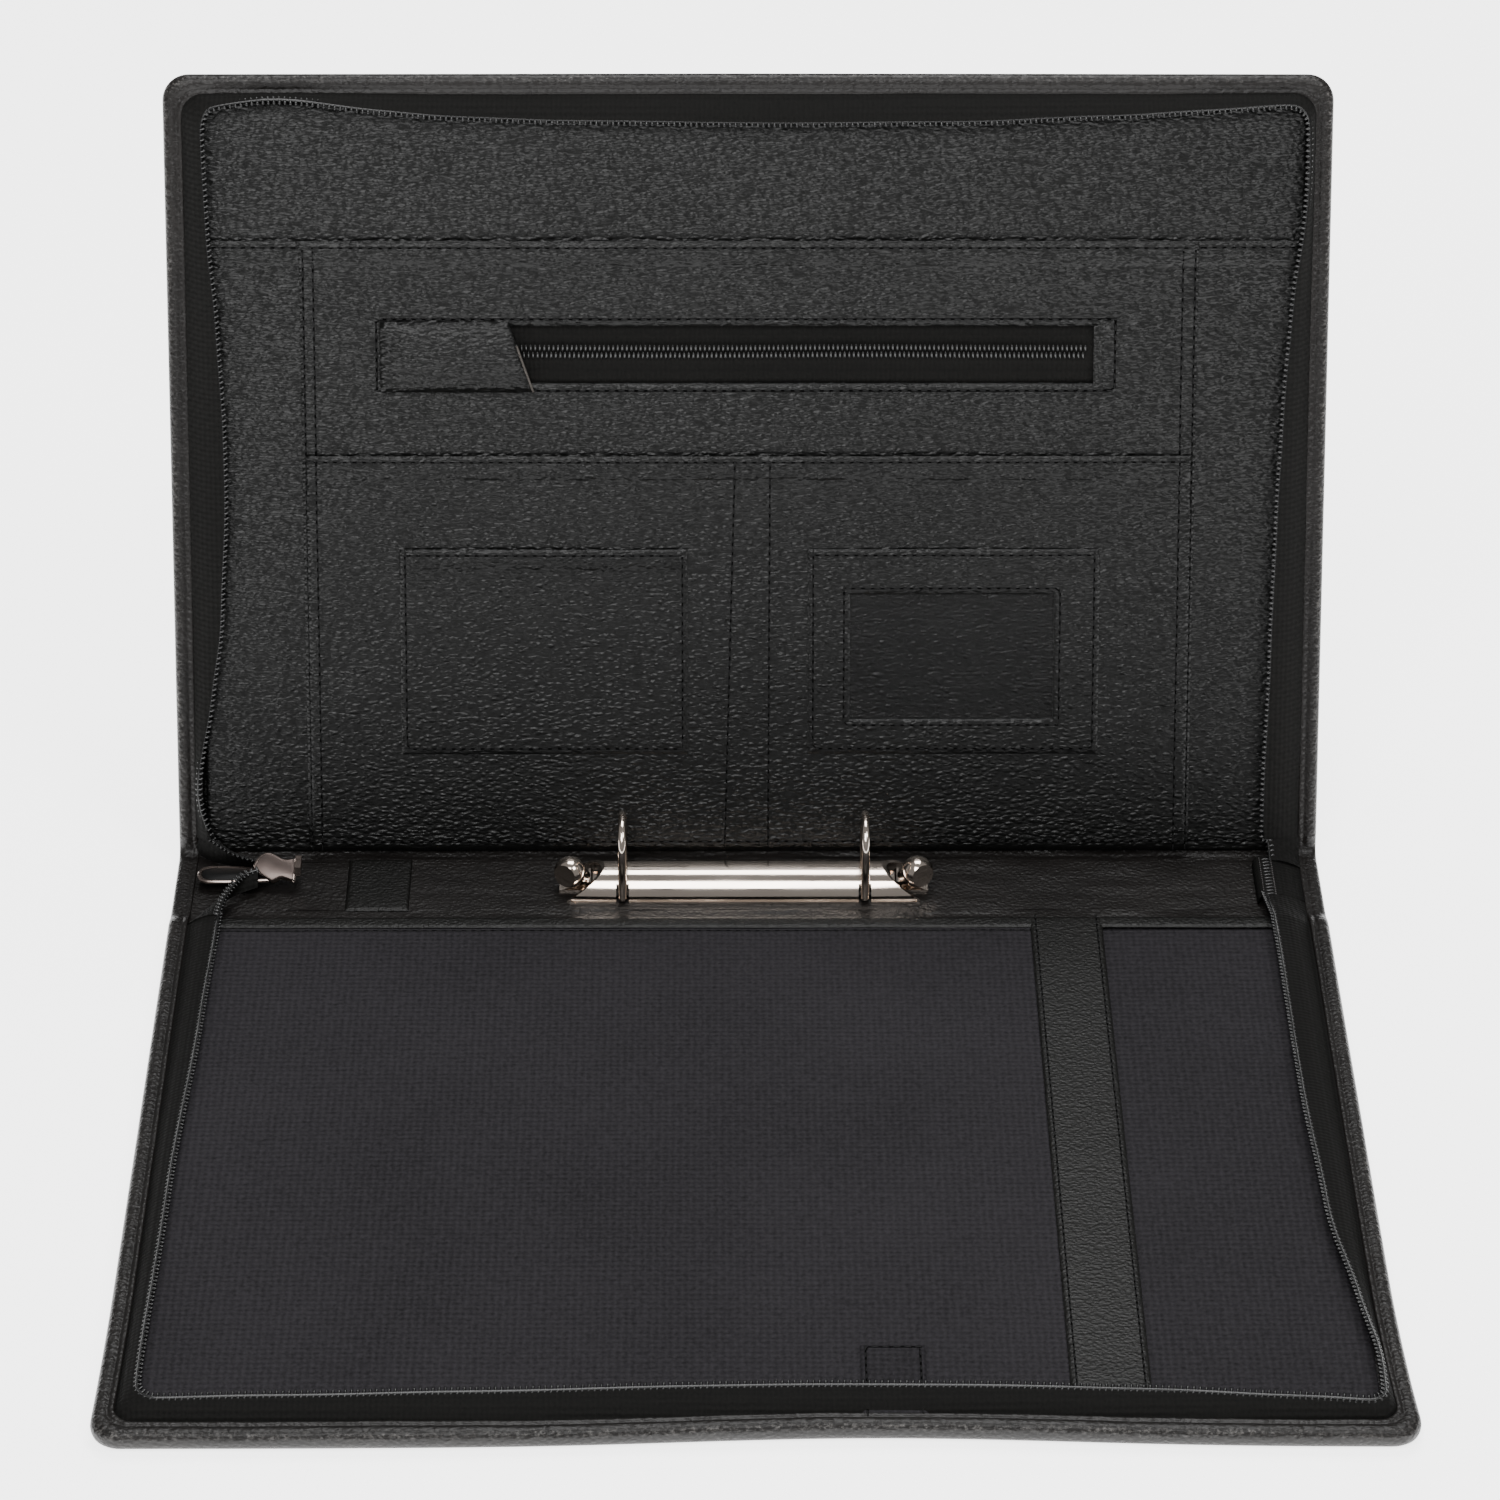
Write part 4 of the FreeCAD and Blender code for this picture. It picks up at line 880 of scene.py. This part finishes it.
# How far the coil lies in from the outline, in millimetres: (distance along the edge, reach).
BASE_REACH = [(0, 16.8), (60, 15.5), (149, 12.9), (228, 12), (252, 12.6), (292, 13.6), (350, 15),
              (442, 15.8), (569, 14.6), (612, 12.2), (634, 9.5), (656, 8.2), (676, 10.8), (718, 16),
              (780, 18), (852, 18.2), (884, 18.5)]
LID_REACH = [(0, 11.5), (5, 8.6), (14.7, 6.6), (30, 8.4), (44.5, 11.8), (79.5, 16), (121.5, 18),
             (146, 17.8), (187, 15.9), (209, 13.6), (243, 12.5), (262, 9), (278.5, 7), (289, 7.8),
             (311, 10.9), (338, 13), (377, 14.2), (451, 15), (512, 14.5), (565, 12.6), (604, 10.6),
             (622, 9), (645, 8), (658, 8), (672, 9), (692, 12.2), (732, 14.6), (763, 15.9),
             (814, 17), (865, 18.4), (884, 18.3)]
COIL_HEIGHT = {"base": 10.2 * MM, "lid": 10.6 * MM}
COIL_WAVE, COIL_WAVES = 0.6 * MM, 18
TURN_PITCH, TURN_HALF, TURN_RADIUS, TURN_SHIFT = mm(1.8, 1.45, 0.52, 0.25)
TURN_LEAN = (0.9, 0.42, 0.14)                      # across the tape, up from it and along the row
CORD_RADIUS, CORD_SIDES = 0.45 * MM, 8
TAPE_THICK, TAPE_ARCH = mm(0.55, 0.9)
ROOT_INSET, ROOT_HEIGHT = mm(6.2, 5.9)       # where the tape leaves the turned edge
OUTLINES = {}


def outline_at(inset, start):
    """The outline at an inset, to a tenth of a millimetre, worked out once."""
    key = (round(inset * 1e4), round(start * 1e6))
    if key not in OUTLINES:
        OUTLINES[key] = outline(round(inset * 1e4) / 1e4, start)
    return OUTLINES[key]


def coil_line(reach, at, start, height):
    line = []
    for i in range(STATIONS):
        inset = smooth_value(reach, ALONG[i] / MM) * MM
        x, v = outline_at(inset, start)[i]
        n = height + noise.noise(Vector((ALONG[i] * COIL_WAVES, height * 900, 4))) * COIL_WAVE
        line.append(at(x, v, n))
    return line


def smooth_line(line):
    for _ in range(3):
        line = [line[0]] + [(a + b * 2 + c) / 4 for a, b, c in zip(line, line[1:], line[2:])] + [line[-1]]
    return line


def zip_teeth(name, path, up, body, side):
    """One row of coil: a tooth for each turn, over a thin cord."""
    heap = Heap()
    for point, way in resample(path, TURN_PITCH):
        across = way.cross(up).normalized() * side
        lean = (across * TURN_LEAN[0] + up * TURN_LEAN[1] + way * TURN_LEAN[2]).normalized()
        heap.add(capsule_points(point + across * TURN_SHIFT, lean, way, lean.cross(way).normalized(),
                                TURN_HALF, TURN_RADIUS))
    cord = []
    for i, point in enumerate(path):
        way = (path[min(i + 1, len(path) - 1)] - path[max(i - 1, 0)]).normalized()
        across = way.cross(up).normalized()
        over = way.cross(across).normalized()
        cord.append([point + (across * math.cos(a) + over * math.sin(a)) * CORD_RADIUS
                     for a in turns(CORD_SIDES)])
    heap.add(cord)
    return heap.piece(name, COIL, body, "zip_coil")


def tape_between(name, roots, tips, up, body):
    """The woven tape from the border out to the coil, slightly arched."""
    rows = []
    for root, tip in zip(roots, tips):
        rows.append([root + (tip - root) * t + up * (math.sin(math.pi * t) * TAPE_ARCH)
                     for t in (0, 0.15, 0.35, 0.55, 0.75, 0.9, 1.0)])
    return ribbon(name, rows, TAPE_THICK, TAPE, body, "zip_tape", angle=60)


UP3 = Vector((0, 0, 1))
LID_UP = (lid_at(0, 0, 1) - lid_at(0, 0, 0)).normalized()
coil_lines = {}
for name, at, start, reach, up, side in (("base", base_at, BEND, BASE_REACH, UP3, -1),
                                         ("lid", lid_at, LID_START, LID_REACH, LID_UP, 1)):
    tips = smooth_line(coil_line(reach, at, start, COIL_HEIGHT[name]))
    roots = [at(x, v, ROOT_HEIGHT) for x, v in outline_at(ROOT_INSET, start)]
    tape = tape_between(name + "_tape", roots, tips, up, name)
    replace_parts(tape, name + "_zip_tape")
    teeth = zip_teeth(name + "_teeth", tips, up, name, side)
    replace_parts(teeth, name + "_zip_chain")
    coil_lines[name] = tips


def fold_zip(name, tips, roots, blend, side, tape_node=None, teeth_node=None):
    """The stretch of tape and coil that crosses a fold."""
    tips, roots = curve_through(tips, 12), curve_through(roots, 12)
    tape = tape_between(name + "_tape", roots, tips, UP3, None)
    teeth = zip_teeth(name + "_teeth", tips, UP3, None, side)
    for piece, node in ((tape, tape_node), (teeth, teeth_node)):
        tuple(blend[0])
        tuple(blend[1])
        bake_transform(piece)
        if node:
            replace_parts(piece, node)


FRONT_BLEND = (tuple(base_at(0, 7 * MM, 0)), tuple(spine_at(0, 6 * MM, 0)))
REAR_BLEND = (tuple(lid_at(0, 7 * MM, 8 * MM)), (0, LID_FOLD.y - 9 * MM, 4 * MM))
ROOT_X = HALF - ROOT_INSET
TAIL_Y, TAIL_Z, TAIL_GAP = BASE_FOLD.y + 20 * MM, 10.2 * MM, 2.4 * MM
MOUTH_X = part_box("zip_slider")[0][0] + 1.5 * MM
fold_zip("left_front_fold",
         [coil_lines["base"][0], spine_mm(-171.9, 1, 10.4),
          spine_mm(-169, 9.5, 10.4), spine_at(-166 * MM, 15 * MM, TAIL_Z),
          Vector((MOUTH_X, TAIL_Y - TAIL_GAP, TAIL_Z))],
         [base_at(-ROOT_X, BEND, ROOT_HEIGHT), spine_mm(-178, -1, 5.6),
          spine_mm(-173, 6, 5.2), spine_mm(-168, 10.5, 5.6),
          spine_mm(-162, 13, 6.4)],
         FRONT_BLEND, -1, "zip_tail_tape_front", "zip_tail_chain_front")
fold_zip("left_rear_fold",
         [coil_lines["lid"][0], Vector((-176 * MM, LID_FOLD.y - 8.5 * MM, 10.9 * MM)),
          Vector((-170.5 * MM, LID_FOLD.y - 13.5 * MM, 10.5 * MM)),
          Vector((MOUTH_X, TAIL_Y + TAIL_GAP, TAIL_Z))],
         [lid_at(-ROOT_X, LID_START, ROOT_HEIGHT), spine_mm(-183.6, 36, 4.2),
          spine_mm(-176, 31, 3.4), spine_mm(-163, 28, 3.4)],
         REAR_BLEND, 1, "zip_tail_tape_rear", "zip_tail_chain_rear")

# The closed end: the two rows meet beside each other on the spine.
CLOSED_X, ROW_GAP, CLOSED_TOP = mm(170.2, 3.4, 6.8)
CLOSED_EDGE = 183.6 * MM
fold_zip("right_front_fold",
         [coil_lines["base"][-1], spine_mm(170.8, -1, 9.2),
          spine_at(CLOSED_X, 9.5 * MM, CLOSED_TOP)],
         [base_at(ROOT_X, BEND, ROOT_HEIGHT), spine_at(ROOT_X, 0, 4 * MM),
          spine_at(CLOSED_EDGE, 9.5 * MM, 3.6 * MM)],
         FRONT_BLEND, -1)
fold_zip("right_rear_fold",
         [coil_lines["lid"][-1], Vector((173.2 * MM, LID_FOLD.y - 7 * MM, 10.4 * MM)),
          spine_at(CLOSED_X + ROW_GAP, 27 * MM, CLOSED_TOP + 0.2 * MM)],
         [lid_at(ROOT_X, LID_START, ROOT_HEIGHT), spine_at(CLOSED_EDGE, 34 * MM, 4.4 * MM),
          spine_at(CLOSED_EDGE, 27 * MM, 3.7 * MM)],
         REAR_BLEND, -1)

DOT_PITCH, DOT_HALF, DOT_RADIUS = mm(1.2, 0.4, 0.24)
CLOSED_TAPE_FROM, CLOSED_TAPE_LENGTH, CLOSED_TAPE_STEPS = 7.5 * MM, 22 * MM, 12
RIGHT = Vector((1, 0, 0))
# Pale dots along both seams of the closed end: painted highlights on the stitching.
THREAD_HIGHLIGHT = plain("thread_painted_highlight", (0.05, 0.045, 0.045), 0.4)
closed, closed_highlight_dots = Heap(), Heap()
middle = [spine_at(CLOSED_X + ROW_GAP / 2, v * MM, CLOSED_TOP + 0.2 * MM) for v in (8, 15, 22, 29)]
for point, way in resample(middle, TURN_PITCH):
    closed.add(capsule_points(point, Vector((1, 0, 0.1)).normalized(), way, UP3, 1.5 * MM, 0.42 * MM))
for side in (-0.5, 0.5):
    for point, way in resample(middle, DOT_PITCH):
        across = RIGHT * (side * (ROW_GAP + 0.4 * MM))
        closed_highlight_dots.add(capsule_points(point + across, way, RIGHT, UP3, DOT_HALF, DOT_RADIUS))
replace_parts(closed.piece("closed_end_teeth", COIL, "spine", "zip_coil"), "zip_closed_end_chain")
closed_highlight_dots.piece("closed_end_stitch_highlights", THREAD_HIGHLIGHT, "spine", "zip_coil")
# The tape over both rows in section: (across the case, height).
CLOSED_SECTION = ((183.6, 3.3), (181, 4.3), (178.5, 5.3), (175.5, 6.2), (172.5, 6.7), (169.4, 6.6),
                  (168.6, 5.2), (168.4, 3.2))
rows = [[spine_at(x * MM, CLOSED_TAPE_FROM + CLOSED_TAPE_LENGTH * k / CLOSED_TAPE_STEPS, n * MM)
         for x, n in CLOSED_SECTION] for k in range(CLOSED_TAPE_STEPS + 1)]
closed_tape = ribbon("closed_end_tape", rows, -0.5 * MM, TAPE, "spine", "zip_tape")
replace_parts(closed_tape, "zip_closed_end_tape")


# ---------------------------------------------------------------- inner zip

ZIP_LINE = 170.5 * MM
INNER_FLOOR, INNER_ARCH, INNER_ARCH_HALF = mm(5.5, 0.5, 3)
INNER_PITCH, INNER_ROW, INNER_END, INNER_SLACK = mm(1.5, 1.2, 2, 0.5)
INNER_HEIGHT, INNER_HALF, INNER_RADIUS = mm(6.7, 1.15, 0.42)


def inner_tape_top(x, v):
    return INNER_FLOOR + INNER_ARCH * math.exp(-((v - ZIP_LINE) / INNER_ARCH_HALF) ** 2)


inner_floor = slab("inner_zip_cloth", lid_at,
                   (ZIP_WINDOW[0], ZIP_WINDOW[1], ZIP_WINDOW[2] + 0.2 * MM, ZIP_WINDOW[3] - 0.2 * MM),
                   inner_tape_top, 0.3 * MM, TAPE, "lid", "zip_tape")
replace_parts(inner_floor, "inner_zip_tape")
inner = Heap()
turn_way = (lid_at(0, 1, 0.25) - lid_at(0, 0, 0)).normalized()
turn_count = int((ZIP_WINDOW[1] - ZIP_WINDOW[0] - 2 * INNER_END) / INNER_PITCH)
for row, offset in ((-INNER_ROW, 0.25), (INNER_ROW, 0.75)):
    for k in range(turn_count):
        x = ZIP_WINDOW[0] + INNER_END + (k + offset) * INNER_PITCH
        slack = noise.noise(Vector((x * 12, 0, 3))) * INNER_SLACK
        inner.add(capsule_points(lid_at(x, ZIP_LINE + row + slack, INNER_HEIGHT), turn_way, RIGHT,
                                 turn_way.cross(RIGHT), INNER_HALF, INNER_RADIUS))
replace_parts(inner.piece("inner_zip_teeth", COIL, "lid", "zip_coil"), "inner_zip_chain")

RIM_WIDTH, RIM_RISE = mm(3, 0.3)
lid_slab("inner_zip_frame", grown(ZIP_WINDOW, RIM_WIDTH), lambda x, v: org_top(x, v) + RIM_RISE,
         0.5 * MM, holes=(ZIP_WINDOW,), drop=0.5 * MM)
x0, _, v0, v1 = grown(ZIP_WINDOW, 2.2 * MM)
x1 = ZIP_WINDOW[1] + 6 * MM
seam("lid", straight(x0, v0, x1, v0, 90) + straight(x1, v0, x1, v1) + straight(x1, v1, x0, v1, 90)
     + straight(x0, v1, x0, v0), lambda x, v: org_top(x, v) + RIM_RISE + 0.02 * MM)
END_TAB = (ZIP_WINDOW[1] - 1 * MM, ZIP_WINDOW[1] + 6.9 * MM, ZIP_WINDOW[2] - 1 * MM, ZIP_WINDOW[3])
end_tab = lid_slab("inner_zip_end_leather", END_TAB, lambda x, v: org_top(x, v) + 0.2 * MM, 0.4 * MM,
                   drop=0.15 * MM)
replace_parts(end_tab, "inner_zip_end_tab")


GARAGE_LONG, GARAGE_SLANT = mm(50, 8)        # its lower edge, and how much shorter the upper is
GARAGE_TOP, GARAGE_DOME, GARAGE_SKIN = mm(8.2, 1.5, 0.7)
GARAGE_STEPS, GARAGE_ROWS, RAW_EDGE = 24, 12, 0.4 * MM
RAW_LEATHER = plain("raw_leather_edge", (0.06, 0.052, 0.045), 0.7)


def garage():
    """The leather patch over the zip's closed end, with its slanting free edge."""
    left, low, high = ZIP_WINDOW[0] - 1 * MM, ZIP_WINDOW[2] - 2.5 * MM, ZIP_WINDOW[3] + 1.5 * MM
    rows = []
    for i in range(GARAGE_STEPS + 1):
        t = i / GARAGE_STEPS
        row = []
        for j in range(GARAGE_ROWS + 1):
            u = j / GARAGE_ROWS
            x, v = left + (GARAGE_LONG - GARAGE_SLANT * u) * t, low + (high - low) * u
            dome = GARAGE_DOME * math.sin(math.pi * u) ** 0.7 * min(1, t * 6)
            row.append(lid_at(x, v, GARAGE_TOP + dome + ripple(x, v, "garage", 0.3 * MM)))
        rows.append(row)
    piece = ribbon("inner_zip_garage_leather", rows, GARAGE_SKIN, POCKET, "lid", "lining_leather")
    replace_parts(piece, "inner_zip_garage")
    trim = [[p + way * RAW_EDGE for way in (RIGHT, LID_UP, -RIGHT, -LID_UP)] for p in rows[-1][:9]]
    loft("inner_zip_garage_edge", trim, RAW_LEATHER, "lid", "lining_leather")


garage()

# ---------------------------------------------------------------- hardware

SLIDER_TILT = math.radians(38)
slider_low, slider_high = (Vector(corner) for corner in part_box("zip_slider"))
SLIDER_PLACE = (slider_low + slider_high) / 2
FACE_UP = Vector((0, math.cos(SLIDER_TILT), math.sin(SLIDER_TILT)))
FACE_OUT = Vector((0, -math.sin(SLIDER_TILT), math.cos(SLIDER_TILT)))
# The face plate's outline: a round nose, a waist and a squared end.
PLATE_LINE = [(-6.8, 0.5), (-6.0, 2.4), (-4.8, 3.9), (-3.0, 4.9), (-1.2, 4.9), (0.8, 4.0), (2.6, 2.9),
              (4.4, 2.5), (6.0, 2.7), (7.6, 2.9), (7.65, 0), (7.4, -3.0), (7.2, -4.9), (5.4, -4.5),
              (3.5, -3.8), (2.1, -3.8), (0.8, -4.5), (-0.6, -5.0), (-2.4, -4.0), (-4.2, -2.8),
              (-5.6, -1.4)]


def plate(name, line, rims, material, angle=35):
    """A part of the slider with rounded rims: its outline repeated at (scale, height) steps."""
    rings = [[SLIDER_PLACE + RIGHT * (a * scale * MM) + FACE_UP * (b * scale * MM)
              + FACE_OUT * (height * MM) for a, b in line] for scale, height in rims]
    return loft(name, rings, material, "zip_slider", "nickel", angle=angle)


FACE_RIM = ((0.9, 0.6), (1.0, 0.9), (1.0, 1.5), (0.95, 1.85), (0.9, 1.95), (0.86, 1.8))
PANEL_RIM = ((0.88, 1.5), (0.88, 1.9), (0.8, 2.0))
BACK_RIM = ((0.86, -2.4), (0.92, -2.1), (0.92, -1.5), (0.86, -1.2))
BRIDGE_LINE = [(-4.2, -0.8), (-1.2, -0.8), (-1.2, 0.8), (-4.2, 0.8)]
for piece in (plate("slider_face", PLATE_LINE, FACE_RIM, NICKEL),
              plate("slider_panel", PLATE_LINE, PANEL_RIM, SMOKED),
              plate("slider_back", PLATE_LINE, BACK_RIM, NICKEL),
              plate("slider_bridge", BRIDGE_LINE, ((1.0, -1.6), (1.0, 1.2)), NICKEL, angle=None)):
    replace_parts(piece, "zip_slider")

# The pull: a flat tag whose raised metal rim runs round a dark face.
pull_low, pull_high = (Vector(corner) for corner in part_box("zip_pull"))
PULL_TOP, PULL_ROOT = pull_high.z, pull_high.x - 1.5 * MM
PULL_LINE = [(PULL_ROOT, -3.4), (-172 * MM, -4.3), (-178.6 * MM, -4.3), (-181 * MM, -3.2),
             (-182 * MM, -0.9), (-182 * MM, 1.2), (-181 * MM, 3.2), (-178.6 * MM, 4.2), (-172 * MM, 4.2),
             (PULL_ROOT, 3.4)]
# The rim in section: (scale about the tag's middle, height).
PULL_RIM = ((0.95, -1.1), (1.06, -0.8), (1.08, -0.1), (1.0, 0.25), (0.86, 0.2), (0.82, -0.2))
PULL_CENTRE = Vector((-170 * MM, (pull_low.y + pull_high.y) / 2, 0))
pull_rings = [[Vector((PULL_CENTRE.x + (x - PULL_CENTRE.x) * (0.55 + 0.45 * scale),
                       PULL_CENTRE.y + y * scale * MM, PULL_TOP + height * MM)) for x, y in PULL_LINE]
              for scale, height in PULL_RIM]
pull_tag = loft("pull_tag", pull_rings, NICKEL, "zip_pull", "nickel", angle=40)
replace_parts(pull_tag, "zip_pull")
loft("pull_inlay", [[Vector((p.x, p.y, PULL_TOP + height * MM)) for p in pull_rings[-1]]
                    for height in (-0.3, 0.05)], THREAD, "zip_pull", "nickel")

finishes = {"ring_cover_plate": CHROME, "mounting_posts": CHROME, "ring_rail_front": STEEL,
            "ring_rail_rear": STEEL, "lever_left": CHROME, "lever_right": CHROME, "zip_end_stop": NICKEL,
            "inner_zip_slider": NICKEL, "inner_zip_pull": NICKEL}
for edge in ("front", "rear"):
    for end in ("left", "right"):
        finishes[f"ring_half_{edge}_{end}"] = CHROME
for node, material in finishes.items():
    piece = frame["nodes"][node]
    piece.data.materials.clear()
    piece.data.materials.append(material)

for body in STITCHES:
    STITCHES[body].piece(body + "_stitches", THREAD, body, "lining_leather")
    SEAM_SHADE_STRIPS[body].piece(body + "_seam_shade_strips", SEAM_SHADE, body, "lining_leather")

# ---------------------------------------------------------------- floor, light and camera

FLOOR_HALF, FLOOR_Z = 4.0, -0.2 * MM
floor_mesh = bpy.data.meshes.new("floor")
floor_mesh.from_pydata([(x * FLOOR_HALF, y * FLOOR_HALF, FLOOR_Z)
                        for x, y in ((-1, -1), (1, -1), (1, 1), (-1, 1))], [], [(0, 1, 2, 3)])
floor = bpy.data.objects.new("floor", floor_mesh)
FLOOR_PAINT = plain("pale_floor", (0.95, 0.95, 0.95), 0.9)
glow = FLOOR_PAINT.node_tree.nodes["Principled BSDF"]
glow.inputs["Emission Color"].default_value = (1, 1, 1, 1)
glow.inputs["Emission Strength"].default_value = 3.2
floor_mesh.materials.append(FLOOR_PAINT)
bpy.context.scene.collection.objects.link(floor)

world = bpy.data.worlds.new("studio")
world.use_nodes = True
world.node_tree.nodes["Background"].inputs["Color"].default_value = (1, 1, 1, 1)
world.node_tree.nodes["Background"].inputs["Strength"].default_value = 0.2
bpy.context.scene.world = world


def area_light(name, place, target, size, power):
    light = bpy.data.lights.new(name, "AREA")
    light.shape, light.size, light.energy = "SQUARE", size, power
    lamp = bpy.data.objects.new(name, light)
    lamp.location = place
    lamp.rotation_euler = (Vector(target) - Vector(place)).to_track_quat("-Z", "Y").to_euler()
    bpy.context.scene.collection.objects.link(lamp)


area_light("key", (-0.3, -1.2, 1.75), (0, 0.05, 0.05), 1.0, 30)
area_light("side", (0.9, -0.6, 1.5), (0, 0.1, 0.05), 0.5, 9)
area_light("top", (0.1, 0.75, 1.7), (0, 0.0, 0.0), 1.0, 26)

CAMERA_PLACE = Vector((-0.0108, -1.2517, 0.9888))
PITCH, YAW, ROLL = math.radians(33.64), math.radians(0.456), math.radians(0.204)
SENSOR, LENS = 36, 123.9
ahead = Vector((math.sin(YAW) * math.cos(PITCH), math.cos(YAW) * math.cos(PITCH), -math.sin(PITCH)))
level = Vector((math.cos(YAW), -math.sin(YAW), 0))
upright = level.cross(ahead)
right = level * math.cos(ROLL) + upright * math.sin(ROLL)
above = upright * math.cos(ROLL) - level * math.sin(ROLL)
camera_data = bpy.data.cameras.new("camera")
camera_data.sensor_width = SENSOR
camera_data.lens = LENS
camera = bpy.data.objects.new("camera", camera_data)
camera.matrix_world = Matrix(((right.x, above.x, -ahead.x, CAMERA_PLACE.x),
                              (right.y, above.y, -ahead.y, CAMERA_PLACE.y),
                              (right.z, above.z, -ahead.z, CAMERA_PLACE.z), (0, 0, 0, 1)))
bpy.context.scene.collection.objects.link(camera)
bpy.context.scene.camera = camera
